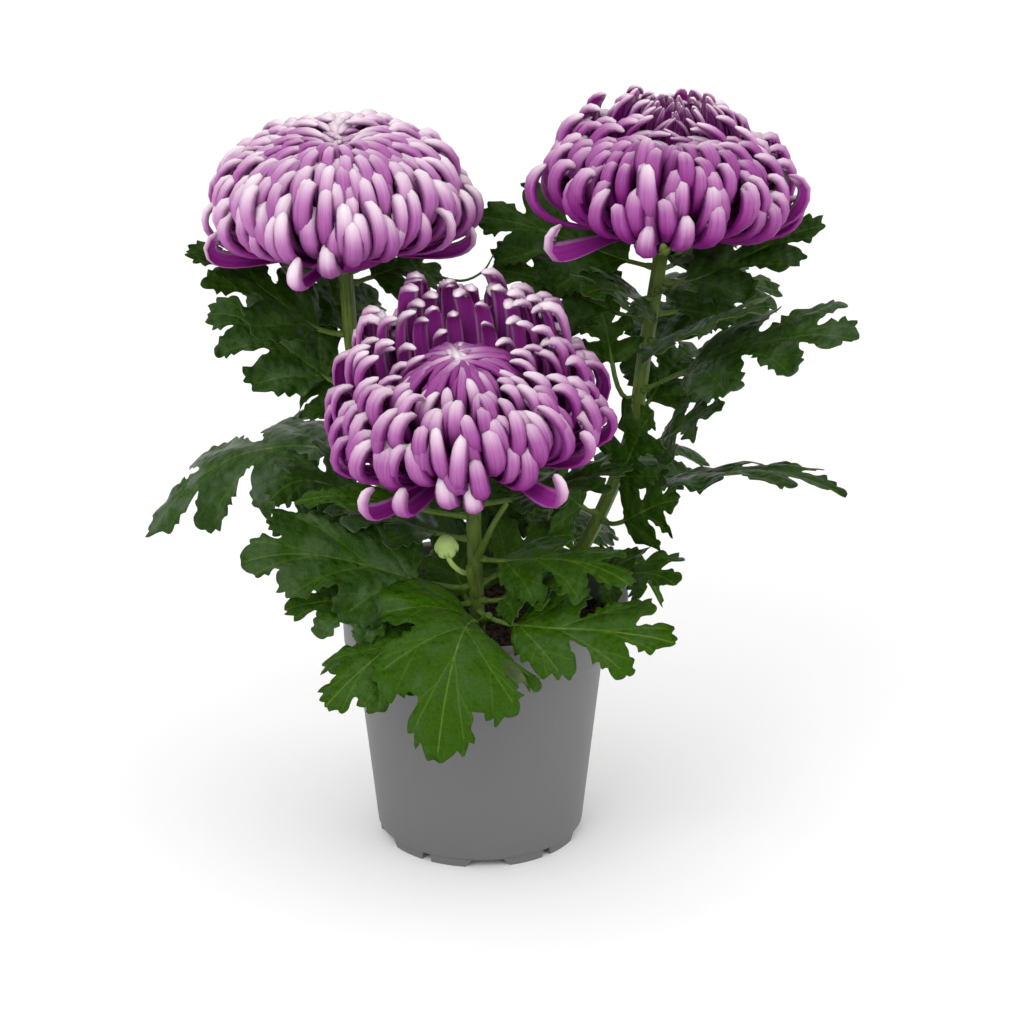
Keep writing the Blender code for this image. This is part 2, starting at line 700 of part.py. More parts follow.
def add_bud():
    """The green side bud on its stalk, low on the front stem."""
    centre, along_stem = stem_at(STEMS["front"], BUD_STEM_HEIGHT)
    place = Vector(BUD_PLACE)
    toward = place - centre
    heading = (toward - toward.dot(along_stem) * along_stem).normalized()
    start = centre + heading * (STEM_RADIUS + STALK_CLEAR)
    curve = (start, start + heading * 5, place - Vector((0, 0, 8)), place)
    path = [bezier(curve, t)[0] for t in (0, 0.35, 0.7)]
    radii = [BUD_STALK] * 3
    axis = Vector((-0.15, -0.45, 0.9)).normalized()
    for rise, radius in ((-3.6, 2.6), (-2.0, 4.2), (0.6, BUD_RADIUS), (3.0, 3.6), (4.4, 1.6)):
        path.append(place + axis * rise)
        radii.append(radius)
    shade(new_object("side_bud", *tube(path, radii, 8), "bud"), 60)


def main():
    clear_scene()
    add_pot()
    add_soil()
    for name, plant in STEMS.items():
        add_stem(name, plant)
        add_bloom(name, plant)
    for row in LEAVES:
        add_leaf(row)
    add_bud()


if __name__ == "__main__":
    main()
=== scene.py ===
"""Pot chrysanthemum: a Blender add-on that dresses the solids of the plant and its pot.

Each operator makes one piece, or one group of like pieces, in place of its solids. +Z is up, the
origin is where the pot's axis meets the ground, and the front faces -Y. The tables hold
millimetres, which become metres when a mesh is made.
"""

import math
import random

import bmesh
import bpy
import numpy as np
from bpy.props import FloatProperty, FloatVectorProperty, IntProperty, PointerProperty
from mathutils import Matrix, Vector
from mathutils.geometry import delaunay_2d_cdt


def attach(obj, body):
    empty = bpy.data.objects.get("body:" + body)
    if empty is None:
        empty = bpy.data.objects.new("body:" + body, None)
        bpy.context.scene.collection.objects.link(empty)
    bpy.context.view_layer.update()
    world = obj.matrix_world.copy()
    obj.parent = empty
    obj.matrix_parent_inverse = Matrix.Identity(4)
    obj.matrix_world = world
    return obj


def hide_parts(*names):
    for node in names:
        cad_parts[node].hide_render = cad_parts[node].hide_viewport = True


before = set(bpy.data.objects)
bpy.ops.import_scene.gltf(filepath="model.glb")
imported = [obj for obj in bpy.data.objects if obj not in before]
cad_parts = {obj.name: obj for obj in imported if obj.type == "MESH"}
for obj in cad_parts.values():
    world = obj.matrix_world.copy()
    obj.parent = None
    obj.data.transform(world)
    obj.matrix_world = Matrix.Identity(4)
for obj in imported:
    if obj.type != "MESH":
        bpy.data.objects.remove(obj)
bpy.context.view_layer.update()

bl_info = {
    "name": "Pot Chrysanthemum",
    "version": (1, 0, 0),
    "blender": (4, 5, 0),
    "location": "3D View > Sidebar > Chrysanthemum",
    "description": "Makes the blooms, leaves, stems, soil and pot of a pot chrysanthemum",
    "category": "Add Mesh",
}

MM = 0.001
TINY = 1e-6
FAR = 1e3
GOLDEN_ANGLE = 137.508

# Pot: a turned shell with a foot ring, a tapered body, a wider collar and a rolled lip.
POT_HEIGHT = 120.0
POT_WALL = 1.2
FOOT_RADIUS = 48.2
FOOT_HEIGHT = 4.0
FOOT_WALL = 1.6
FOOT_FLARE = 0.2  # how much wider the foot ring is at its top
FOOT_STEP = 0.6  # height of the step from the foot ring to the body
BODY_LOW_RADIUS = 49.2
BODY_TOP_RADIUS = 59.0
COLLAR_LOW = 96.5
COLLAR_STEP = 0.8  # height of the step from the body to the collar
COLLAR_RADIUS = 64.0
COLLAR_TOP_RADIUS = 64.8
LIP_RADIUS = 70.0
LIP_THICK = 2.4
NOTCH_STEP = 72  # degrees from one notch to the next of its kind
NOTCH_TURN = 4.8  # degrees from the front to the first large notch
NOTCH_WIDE = (25.5, 17.7)  # degrees at the bottom and at the top
NOTCH_SMALL = (6.0, 5.0)
NOTCHES = ((NOTCH_TURN, NOTCH_WIDE), (NOTCH_TURN + NOTCH_STEP / 2, NOTCH_SMALL))
NOTCH_HEIGHT = 3.6
DRAIN_RADIUS = 5.0
DRAIN_RING = 31.0
DRAIN_TURN = 18  # degrees from +X to the first hole of the ring
DRAIN_STEP = 72  # degrees from one to the next
DRAIN_CUT = 6.0  # length of the rods that cut them, which is more than the floor's thickness
POT_SIDES = 144
POT_SHARP = 38  # degrees between faces that make a sharp edge

SOIL_TOP = 104.0
SOIL_GAPS = (0.3, 0.6, 0.9, 0.7)  # to the pot's floor, low wall, top of the body, and collar
SOIL_STEP = (0.4, 1.6)  # how far above the pot's inner step the soil's own step starts and ends
SOIL_MOUND = 2.0
SOIL_HOLLOW = 0.9
SOIL_ROUGH = 0.5
SOIL_RINGS = 18
SOIL_SIDES = 72
CRUMB_STRETCH = ((0.5, 0.5, 0.35), (1.3, 1.3, 0.9))  # least and most, a share of the crumb size
CRUMB_TURN = ((0, 0, 0), (6.28, 6.28, 6.28))  # least and most, in radians
CRUMB_SEED = 7
STEM_DEPTH = 30.0
STEM_RADIUS = 3.2
NECK = 15.0  # straight length of stem under a bloom
CUP = ((-9.0, 3.4), (-5.0, 6.0), (-2.2, 9.0), (0.0, 10.0))  # height from the bloom, radius

# Each plant: its stem from above the soil up to the neck, then its bloom's place, and its lean as
# degrees toward the front and degrees toward +X. Below the first point the stem goes straight
# down into the soil.
STEMS = {
    "left": {
        "path": ((-30, 20, 112), (-45, 25, 160), (-58, 29, 222)),
        "bloom": (-62, 30, 276),
        "lean": (9, -2),
    },
    "right": {
        "path": ((36, 15, 112), (58, 11, 158), (71, 10, 197), (77, 14, 237)),
        "bloom": (84, 20, 288),
        "lean": (10, 4),
    },
    "front": {
        "path": ((0, -42, 110), (-1, -41, 140), (-2, -40, 170)),
        "bloom": (-3, -43, 205),
        "lean": (14, -4),
    },
}

# Petal layers of a bloom, from the outside in. Each row has the share of the way in, the four
# control points of a front petal's curve as (radius, height) from the bloom's base, the last two
# of a back petal's, the width, and the angle in radians by which the tip hooks in.
LAYERS = {
    "left": (
        (0.00, (9, 4), (40, 2), (64, 4), (63, 20), (64, 10), (60, 30), 10.5, 1.9),
        (0.30, (11, 6), (42, 8), (66, 24), (54, 41), (62, 30), (52, 44), 10.5, 1.7),
        (0.56, (12, 9), (38, 14), (62, 40), (40, 50), (54, 42), (40, 54), 9.6, 1.4),
        (0.75, (11, 12), (33, 18), (55, 50), (28, 53), (46, 48), (30, 57), 8.6, 1.1),
        (0.88, (8, 15), (22, 26), (40, 60), (16, 57), (32, 52), (18, 60), 7.4, 0.9),
        (1.00, (2, 18), (6, 32), (14, 60), (1, 52), (14, 57), (4, 56), 4.2, 0.5),
    ),
    "right": (
        (0.00, (9, 4), (38, 1), (61, 2), (60, 17), (61, 10), (58, 30), 11.0, 2.0),
        (0.20, (11, 6), (42, 4), (62, 15), (54, 30), (57, 22), (53, 41), 11.0, 1.9),
        (0.40, (12, 9), (38, 10), (56, 31), (44, 40), (48, 28), (44, 50), 10.2, 1.7),
        (0.54, (12, 11), (33, 12), (48, 38), (32, 45), (37, 30), (34, 53), 9.5, 1.4),
        (0.64, (9, 13), (26, 15), (40, 37), (19, 43), (30, 33), (27, 55), 7.6, 1.0),
        (0.82, (6, 15), (18, 18), (30, 43), (10, 42), (20, 34), (17, 52), 5.8, 0.7),
        (1.00, (2, 18), (5, 26), (9, 44), (2, 39), (9, 38), (6, 47), 3.4, 0.3),
    ),
    "front": (
        (0.00, (9, 3), (42, -2), (69, 0), (60, 18), (69, 4), (64, 27), 10.8, 2.1),
        (0.20, (11, 5), (46, 2), (65, 12), (55, 27), (63, 22), (58, 44), 10.8, 2.0),
        (0.38, (12, 7), (40, 5), (58, 24), (49, 35), (54, 34), (50, 63), 10.2, 1.9),
        (0.50, (12, 9), (34, 8), (50, 31), (42, 39), (46, 34), (43, 61), 9.4, 1.8),
        (0.58, (11, 11), (28, 10), (40, 30), (34, 38), (39, 30), (36, 54), 8.8, 1.6),
        (0.65, (10, 12), (22, 12), (33, 28), (26, 38), (30, 26), (28, 46), 7.6, 1.4),
        (0.68, (9, 12), (26, 12), (43, 40), (13, 46), (43, 40), (13, 47), 6.2, 0.4),
        (0.80, (8, 13), (22, 16), (38, 48), (5, 46), (38, 48), (5, 47), 5.4, 0.3),
        (1.00, (2, 16), (5, 28), (12, 51), (0, 44), (12, 51), (0, 46), 3.0, 0.2),
    ),
}
# The way each ball of petals looks: degrees toward the front and degrees toward +X.
PETAL_LEANS = {"left": (2, -2), "right": (-2, 4), "front": (5, -6)}
# How a bloom's petals vary: their length, their bearing and tilt in degrees, how far they bend
# sideways in millimetres, and how far they roll in radians.
LOOSENESS = {
    "left": {"stretch": 0.06, "bearing": 6, "tilt": 4.0, "sway": 7.0, "roll": 0.45},
    "right": {"stretch": 0.07, "bearing": 8, "tilt": 4.0, "sway": 8.0, "roll": 0.55},
    "front": {"stretch": 0.07, "bearing": 8, "tilt": 4.5, "sway": 9.0, "roll": 0.60},
}
FRONT_LIFT = {"left": 6.0, "right": 5.0, "front": 2.0}  # degrees that front petals are raised
HEARTS = {"left": (30, 34), "right": (25, 29), "front": (22, 26)}  # radius and height
PETAL_TONES = {"left": 0.17, "right": 0.60, "front": 0.50}  # how deep a bloom's purple is
TONE_SPREAD = 0.2
FRONT_FADE = 0.14  # how much paler the lowest front petals are
WIDTH_RANGE = (0.88, 1.22)
HOOK_RANGE = (0.6, 1.35)
INNER_CALM = 0.7  # how much less the innermost petals vary
BACK_LOOSE = 0.15  # how much more the petals at the back vary
BACK_BLEND = (0.5, 1.3)  # from the front to the back petal's curve: where it starts, and its span
BACK_GAIN = 0.35  # how much wider the petals at the back are, and how much further they hook
STRAY_SWAY = 4.0

# A petal along its length, in shares of it, and across it.
HOOK_FROM = 0.8  # where its tip starts to hook in
NARROW_FROM = 0.8  # where it starts to narrow toward its tip
NARROW_SPAN = 0.203  # a little past the end, so that the tip is blunt
FOOT_WIDTH = 0.42  # at the foot, a share of its full width
FULL_FROM = 0.62  # where it has its full width
CURLS = (0.55, 0.6, 1.2)  # its curl at the foot, the gain along it, and the gain near the tip
CURL_TIP = 0.7  # where the gain near the tip starts
HOLLOW = 0.2  # how far its middle sinks below its curve, a share of its radius
RING_CROWDING = 1.7  # how much closer its rings lie toward the tip
PETAL_SIDES = 8
PETAL_RINGS = 12
HEART_LOW = 0.4  # the height of a heart's middle, a share of the heart's height

# Petals that have dropped out of the ball: bloom, bearing from +X in degrees, the curve as
# (radius, height) points, width, and the angles in radians by which the tip hooks in and the
# petal rolls over.
STRAYS = (
    ("front", -132, (9, 2), (42, -6), (68, -8), (70, 4), 13.0, 2.4, -0.9),
    ("front", -119, (9, 2), (40, -4), (64, -6), (64, 4), 13.0, 2.0, -0.5),
    ("front", -100, (9, 2), (34, -6), (52, -6), (54, 5), 14.0, 1.5, 0.1),
    ("front", -87, (9, 2), (30, -8), (46, -11), (52, -1), 12.0, 1.6, 0.2),
    ("front", -56, (9, 2), (38, 2), (66, -8), (75, 5), 12.5, 2.4, 0.9),
    ("front", -36, (9, 2), (42, 3), (68, 2), (68, 17), 12.5, 2.2, 0.5),
    ("front", -16, (9, 3), (44, 2), (72, 4), (68, 20), 13.0, 2.2, 0.6),
    ("left", -10, (9, 2), (32, 1), (50, -1), (59, 6), 12.0, 2.0, 0.6),
    ("left", -94, (9, 2), (34, 2), (54, 4), (57, 14), 13.0, 1.7, 0.2),
    ("left", -110, (9, 2), (36, 2), (58, -2), (62, 8), 12.0, 2.0, -0.4),
    ("left", -168, (9, 2), (36, 1), (58, -1), (61, 8), 13.0, 2.2, -0.9),
    ("right", -142, (9, 2), (32, 5), (58, -6), (66, 0), 14.0, 2.6, -1.0),
    ("right", -103, (9, 2), (34, 0), (54, 0), (58, 8), 13.5, 2.0, -0.3),
    ("right", -84, (9, 2), (36, 4), (58, 4), (59, 16), 13.5, 2.0, 0.4),
    ("right", -12, (9, 2), (40, 6), (62, 10), (63, 27), 12.0, 2.0, 0.8),
)

# The leaves of each stem: number, height on the stem, tip (x, y, z), bow of the spine above its
# chord, blade width, the way the upper face looks (bearing from +X, elevation), the degrees that
# each half rises from the midrib, and the petiole's length.
LEAVES = {
    "left": (
        (1, 238, (-135, 30, 277), 8, 46, (-100, 66), 12, 14),
        (2, 213, (-129, 58, 238), 10, 50, (-100, 40), 14, 16),
        (3, 262, (-19, 56, 254), 8, 42, (-90, 50), 14, 12),
        (4, 200, (-86, 48, 204), 8, 40, (-90, 50), 14, 10),
        (5, 184, (-163, 60, 124), 22, 54, (-112, 56), -14, 24),
        (6, 160, (-97, -6, 168), 12, 44, (-95, 40), -8, 14),
        (7, 138, (-99, 4, 150), 8, 40, (-90, 40), 14, 14),
        (8, 232, (-84, 104, 262), 8, 50, (100, 60), 10, 16),
        (9, 176, (-84, 108, 172), 14, 50, (120, 60), -8, 18),
        (10, 196, (-14, 108, 206), 12, 50, (80, 60), 10, 18),
        (11, 130, (-62, 100, 104), 24, 48, (120, 55), -10, 22),
        (12, 146, (20, 0, 160), 8, 46, (-90, 44), 10, 14),
        (13, 122, (16, 56, 126), 10, 46, (-90, 56), 6, 20),
    ),
    "front": (
        (1, 140, (-106, -58, 158), 10, 52, (-100, 46), 12, 28),
        (2, 163, (-70, -30, 172), 5, 36, (-95, 80), 10, 16),
        (3, 132, (-87, -62, 137), 5, 44, (-95, 54), 12, 36),
        (4, 122, (-18, -104, 82), 22, 76, (-85, 36), 0, 18),
        (5, 118, (-68, -90, 102), 8, 44, (-112, 40), -6, 34),
        (6, 129, (88, -84, 130), 3, 42, (-80, 44), 0, 26),
        (7, 154, (68, -90, 160), 8, 36, (-90, 55), -10, 12),
        (8, 134, (45, -75, 151), 6, 32, (-90, 62), 10, 12),
        (9, 174, (-83, -40, 180), 6, 24, (-95, 62), 10, 24),
        (10, 180, (70, -42, 197), 3, 36, (-90, 80), 10, 16),
        (11, 141, (44, -4, 150), 6, 42, (-90, 44), 10, 14),
        (12, 127, (-20, 0, 142), 7, 40, (-90, 46), 10, 12),
    ),
    "right": (
        (1, 266, (159, 26, 291), 3, 38, (-95, 50), 10, 12),
        (2, 272, (118, 82, 276), 4, 34, (-90, 50), 10, 12),
        (3, 262, (97, -22, 274), 3, 16, (-90, 70), 8, 8),
        (4, 240, (126, -50, 272), 5, 46, (-95, 76), 10, 6),
        (5, 252, (142, 62, 248), 8, 46, (-95, 66), 10, 14),
        (6, 218, (167, -52, 261), 9, 60, (-92, 66), 10, 30),
        (7, 191, (110, -22, 218), 4, 40, (-90, 66), 10, 18),
        (8, 206, (104, 70, 217), 6, 42, (-90, 50), 10, 14),
        (9, 176, (79, -34, 222), 3, 32, (-100, 30), 12, 12),
        (10, 178, (165, -42, 183), 12, 44, (90, 84), 10, 26),
        (11, 154, (92, -17, 172), 3, 36, (-92, 28), 10, 16),
        (12, 130, (90, -42, 141), 5, 34, (-92, 50), 8, 22),
        (13, 258, (47, -26, 273), 4, 40, (-95, 56), 8, 6),
        (14, 272, (-1, 60, 286), 3, 52, (-92, 38), 12, 14),
        (15, 248, (6, 46, 264), 4, 44, (-92, 48), 12, 14),
        (16, 212, (56, 4, 256), 3, 30, (-100, 24), 12, 24),
        (17, 128, (86, 0, 112), 20, 16, (-60, 40), 8, 14),
        (18, 232, (112, 106, 244), 10, 50, (80, 60), 10, 18),
        (19, 166, (100, 100, 152), 14, 50, (60, 60), -6, 20),
        (21, 140, (-26, 62, 152), 10, 48, (-90, 52), 8, 16),
        (22, 156, (26, -24, 184), 4, 36, (-90, 36), 10, 12),
        (20, 130, (40, 114, 104), 24, 48, (80, 52), -10, 22),
    ),
}

# Where a stalk heads for when it leaves the stem, if not straight for its leaf's tip.
STALK_AIMS = {
    "front_04": (-1, -72, 141),
    "front_05": (-24, -62, 136),
    "front_06": (14, -82, 132),
    "right_06": (97, -11, 234),
}
STALK_CLEAR = 0.7  # from the stem to the end of a leaf's stalk
STALK_REACH = 0.25  # how far a stalk keeps its first heading, a share of the leaf
BOW_PLACE = 0.62  # where along the leaf its bow is pulled up
SPINE_STEPS = 24  # straight steps by which its length is measured

# Half a blade's outline: along the midrib as a share of the length, then across as a share of
# the width.
HALF_BLADE = (
    (0.02, 0.08), (0.03, 0.24), (0.12, 0.40), (0.26, 0.51), (0.40, 0.54), (0.46, 0.45),
    (0.42, 0.26), (0.385, 0.12), (0.45, 0.15), (0.54, 0.30), (0.66, 0.44), (0.77, 0.45),
    (0.81, 0.35), (0.75, 0.20), (0.71, 0.09), (0.77, 0.12), (0.86, 0.20), (0.93, 0.14),
)
BROAD_HALF_BLADE = (
    (0.02, 0.08), (-0.02, 0.22), (0.03, 0.42), (0.18, 0.55), (0.36, 0.56), (0.46, 0.48),
    (0.45, 0.36), (0.43, 0.25), (0.49, 0.28), (0.58, 0.38), (0.68, 0.44), (0.78, 0.42),
    (0.82, 0.32), (0.79, 0.22), (0.77, 0.15), (0.82, 0.17), (0.89, 0.20), (0.95, 0.13),
)
BROAD_LEAVES = ("front_04", "front_05", "front_12", "front_01")
SMALL_HALF_BLADE = (
    (0.04, 0.16), (0.18, 0.52), (0.36, 0.18), (0.52, 0.44), (0.68, 0.14), (0.86, 0.20),
)
SMALL_BLADE_WIDTH = 30.0
# The cuts between lobes, where the edge has no teeth.
SINUSES = ((0.39, 0.13), (0.72, 0.10))
SMALL_SINUSES = ((0.36, 0.18), (0.68, 0.14))
LEAF_SKEW = 0.03  # how far the left lobes sit ahead of the right ones
LEAF_DROOP = 0.30  # how far the margins curl down again, a share of the half width
LOBE_SHIFT = 0.01  # how far a point of the outline may stray along the blade
LOBE_STRETCH = (0.95, 1.05)  # and how far across it
BLADE_FOOT = 0.9  # half its width where it leaves the stalk, a share of the petiole's radius
OUTLINE_STEP = 1.0
TOOTH_SIDES = (0.7, 0.3)  # the shares of a tooth that its long and its short side take
TOOTH_DIP = 0.4  # how much of a tooth lies inside the smooth edge
TOOTH_RANGE = (0.55, 1.3)
TOOTH_WANDER = (0.28, 2.3)  # how far and how often the spacing of the teeth wanders
SMALL_TOOTH = 0.75
TOOTH_FADE = (6.0, 0.35)  # how the teeth grow with the distance from a cut
FOOT_FADE = 0.10  # the share of the blade over which they grow from its foot
END_FADE = 3  # points over which they fade at the tip

PETIOLE_RADIUS = 1.15
STALK_FOOT = (0.0, 1.5, 4.0)  # rings of the stalk, from the stem's side
STALK_BLADE = (0.08, 0.2, 0.35, 0.5, 0.66, 0.82)  # its rings under the blade, as shares of it
STALK_MIDDLE = 8.0  # where a long stalk gets three more rings
STALK_ROOT = 2.6  # how far the stalk goes into the stem
STALK_ROOT_RADIUS = 1.75  # inside the stem, a share of the petiole's radius
STALK_FLARE = 0.6  # how much wider it is where it leaves the stem
STALK_FLARE_LENGTH = 5
STALK_TAPER = 0.85  # how much thinner the midrib has become at the blade's tip
STALK_SINK = 0.8  # how far it lies below the blade, a share of its radius
STALK_SINK_LENGTH = 6  # over which it sinks, half of it before the blade
STALK_SIDES = 8

# The even fill of a blade's net.
GRID_STEP = 2.1
GRID_ROW = 0.866  # from one row to the next, a share of the step
GRID_JITTER = 0.2
GRID_START = -2.0  # along the blade, a little before its foot
GRID_WIDTH = 1.2  # across it, a share of its width
EDGE_CLEAR = 0.7  # from the edge to the points beside the veins
FILL_CLEAR = 1.0  # from the edge to the fill
ONLY_INSIDE = 1  # the kind of net that stays inside the edge
MERGE_WITHIN = 0.05

# The blade's ups and downs, with rates and shifts in radians.
WAVE_RATE = 0.30  # of the margin's waves, along the blade
WAVE_SHIFT = 1.8  # from one half to the other
RIPPLE = 0.35
RIPPLE_RATES = (0.21, 0.35, 0.25)  # along the blade, and twice across it
PUFF_REACH = 3.4  # how far from a vein the quilting has risen

VEIN_STEP = 1.8
VEIN_HALF = 0.6
VEIN_GLOW = 5.0  # how far from a main vein the green stays brighter
VEIN_REACH = 0.94  # how much of the half width the side veins cover
VEIN_BEND = 0.03
MIDRIB_END = 0.97
# Side veins: where one leaves the midrib, where it ends as (along, across), and its strength.
VEINS = (
    (0.01, (0.05, 0.34), 0.45),
    (0.05, (0.33, 0.47), 0.65),
    (0.30, (0.70, 0.40), 0.6),
    (0.56, (0.89, 0.15), 0.5),
)
# Fine veins: from which side vein, where along it, and where it ends.
FINE_VEINS = (
    (1, 0.40, (0.17, 0.46)),
    (1, 0.62, (0.26, 0.49)),
    (1, 0.55, (0.40, 0.36)),
    (2, 0.42, (0.56, 0.33)),
    (2, 0.60, (0.64, 0.40)),
    (2, 0.60, (0.76, 0.30)),
    (3, 0.50, (0.82, 0.18)),
)
FINE_STRENGTH = 0.3
# How bright a leaf's green is, from 0 to 1, where it isn't the usual dark green.
LEAF_TONES = {
    "front_04": 1.0, "front_05": 0.75, "front_06": 0.9, "front_01": 0.45, "front_03": 0.6,
    "front_07": 0.6, "front_08": 0.6, "front_12": 0.9, "front_11": 0.7, "front_09": 0.5,
    "right_12": 0.55, "right_11": 0.45, "right_06": 0.25, "right_17": 0.7, "right_22": 0.5,
    "left_02": 0.3, "left_05": 0.35,
}
USUAL_TONE = 0.16
LEAF_TONE_SPREAD = 0.06
# How much greyish sheen a leaf has, from 0 to 1, where it isn't the usual little: a painted sheen in the
# colour and a real gloss in the coat.
LEAF_SHEENS = {
    "left_05": 1.0, "right_06": 0.75, "front_02": 1.0, "right_04": 0.6, "right_01": 0.5,
    "left_02": 0.5, "left_06": 0.6, "front_01": 0.5, "front_03": 0.5, "right_13": 0.5,
}
USUAL_SHEEN = 0.2

BUD_STEM_HEIGHT = 147.0
BUD_PLACE = (-14, -58, 166)
BUD_AXIS = (-0.15, -0.45, 0.9)
BUD_RADIUS = 4.4
BUD_HEART = (BUD_RADIUS * 0.92, BUD_RADIUS * 1.4)  # radius and height
BUD_STALK_RADIUS = 1.2
BUD_STALK_FROM = 2  # where its stalk starts, from the middle of the stem
BUD_STALK_OUT = 8  # how far it heads straight out
BUD_STALK_RISE = 9  # how far below the bud it turns upwards
BUD_STALK_END = 2  # below the bud's middle

# Small shoots and cut ends: name, slot, and the path's points with the radius at each.
SHOOTS = (
    (
        "side_shoot",
        "stem",
        ((0, -44, 156, 2.0), (4, -52, 168, 1.5), (8, -56, 178, 1.3), (13, -56, 186, 1.2)),
    ),
    ("cut_stub", "stem", ((-1, -43, 136, 1.9), (-3, -50, 146, 1.7), (-4, -54, 155, 1.5))),
    ("low_stub", "stem", ((0, -43, 122, 2.1), (3, -51, 128, 1.8), (5, -56, 132, 1.6))),
    ("tendril", "leaf", ((-22, 12, 272, 0.7), (-8, 8, 270, 0.6), (2, 6, 275, 0.5), (7, 6, 283, 0.3))),
)
SHOOT_RIBS = {"Sides": 12, "Ribs": 4.0, "Rib height": 0.04}
STEM_RIBS = {"Sides": 36, "Ribs": 6.0}

# Green bracts under a bloom and round the bud. Each ring has a count, a curve and a width.
CALYX_RINGS = (
    (12, ((5, -6), (9, -5), (13, -3), (16, 2)), 6.0),
    (14, ((6, -3), (11, -2), (15, 0), (19, 5)), 5.5),
)
CALYX_HEART = (7, 4)
CALYX_BRACTS = {"rings": 6, "curl": 0.9, "thickness": 0.8 * MM, "hook": 1 * MM}
BUD_RINGS = (
    (6, ((1.0, -4.0), (4.6, -4.2), (5.6, 0.0), (3.6, 2.6)), 4.6),
    (6, ((1.0, -3.6), (4.4, -3.4), (5.2, 1.4), (2.6, 3.6)), 4.4),
    (5, ((1.0, -3.0), (4.0, -2.4), (4.6, 2.4), (1.4, 4.2)), 4.2),
)
BUD_BRACTS = {"rings": 8, "curl": 1.5, "thickness": 0.6 * MM, "hook": 1.2 * MM}
BRACT_TURN = 4  # degrees by which a bract may stray from its even place
BRACT_HOOK = 0.4
BRACT_SWAY = 0.2
BRACT_SHARE = 0.3

FLOOR_HALF = 4.0  # metres
LAMPS = (
    ("key_light", "key", 1.2, (-0.9, -1.5, 1.7)),
    ("fill_light", "fill", 1.4, (1.6, -0.9, 1.0)),
)
LAMP_AIM = (0, 0, 0.2)
CAMERA_PLACE = (0.0153, -1.3, 0.662)
CAMERA_PITCH = 21.1  # degrees below the horizon
SENSOR = 36.0


def srgb(red, green, blue):
    """A colour given as screen values from 0 to 255, as the linear values that shaders take."""
    shares = (value / 255 for value in (red, green, blue))
    return tuple(s / 12.92 if s <= 0.04045 else ((s + 0.055) / 1.055) ** 2.4 for s in shares)


# Node trees


class Link:
    """One output of a node, which takes part in sums like a number."""

    def __init__(self, graph, socket):
        self.graph = graph
        self.socket = socket

    def other(self, name):
        """Another output of the same node."""
        return Link(self.graph, self.socket.node.outputs[name])

    def maths(self, operation, *others, swap=False):
        """A Math node, or a Vector Math node where one of the values is a vector."""
        values = (*others, self) if swap else (self, *others)
        vector = any(
            v.socket.type == "VECTOR" if isinstance(v, Link) else isinstance(v, tuple) for v in values
        )
        kind = "ShaderNodeVectorMath" if vector else "ShaderNodeMath"
        return self.graph.add(kind, {"operation": operation}, *values)

    def __add__(self, value):
        return self.maths("ADD", value)

    def __sub__(self, value):
        return self.maths("SUBTRACT", value)

    def __rsub__(self, value):
        return self.maths("SUBTRACT", value, swap=True)

    def __mul__(self, value):
        return self.maths("MULTIPLY", value)

    def __truediv__(self, value):
        return self.maths("DIVIDE", value)

    def __rtruediv__(self, value):
        return self.maths("DIVIDE", value, swap=True)

    def __pow__(self, value):
        return self.maths("POWER", value)

    __radd__ = __add__
    __rmul__ = __mul__

    def split(self):
        """The three numbers of a vector."""
        first = self.graph.add("ShaderNodeSeparateXYZ", {}, self)
        return first, first.other("Y"), first.other("Z")


class Graph:
    """A node tree, with one method that adds any node."""

    def __init__(self, tree):
        self.tree = tree

    def plug(self, socket, value):
        """Sets a socket to a number, a vector or a colour, or links it."""
        if isinstance(value, Link):
            self.tree.links.new(value.socket, socket)
            return
        if socket.type == "VECTOR" and isinstance(value, (int, float)):
            value = (value, value, value)
        if socket.type == "RGBA" and len(value) == 3:
            value = (*value, 1.0)
        socket.default_value = value

    def add(self, kind, settings=None, *values, **named):
        """Adds a node: its settings first, then its values in order or by name."""
        node = self.tree.nodes.new(kind)
        for name, value in (settings or {}).items():
            setattr(node, name, value)
        sockets = [s for s in node.inputs if s.enabled]
        for socket, value in zip(sockets, values):
            if value is not None:
                self.plug(socket, value)
        for name, value in named.items():
            wanted = name.replace("_", " ").lower()
            self.plug(next(s for s in sockets if s.name.lower() == wanted), value)
        outputs = [s for s in node.outputs if s.enabled]
        return Link(self, outputs[0]) if outputs else node

    def blend(self, factor, first, second):
        """A colour between two others."""
        return self.add("ShaderNodeMix", {"data_type": "RGBA"}, factor, first, second)

    def ramp(self, value, low, high, start=0.0, end=1.0):
        """Goes smoothly from start to end while the value goes from low to high."""
        settings = {"interpolation_type": "SMOOTHSTEP"}
        return self.add("ShaderNodeMapRange", settings, value, low, high, start, end)


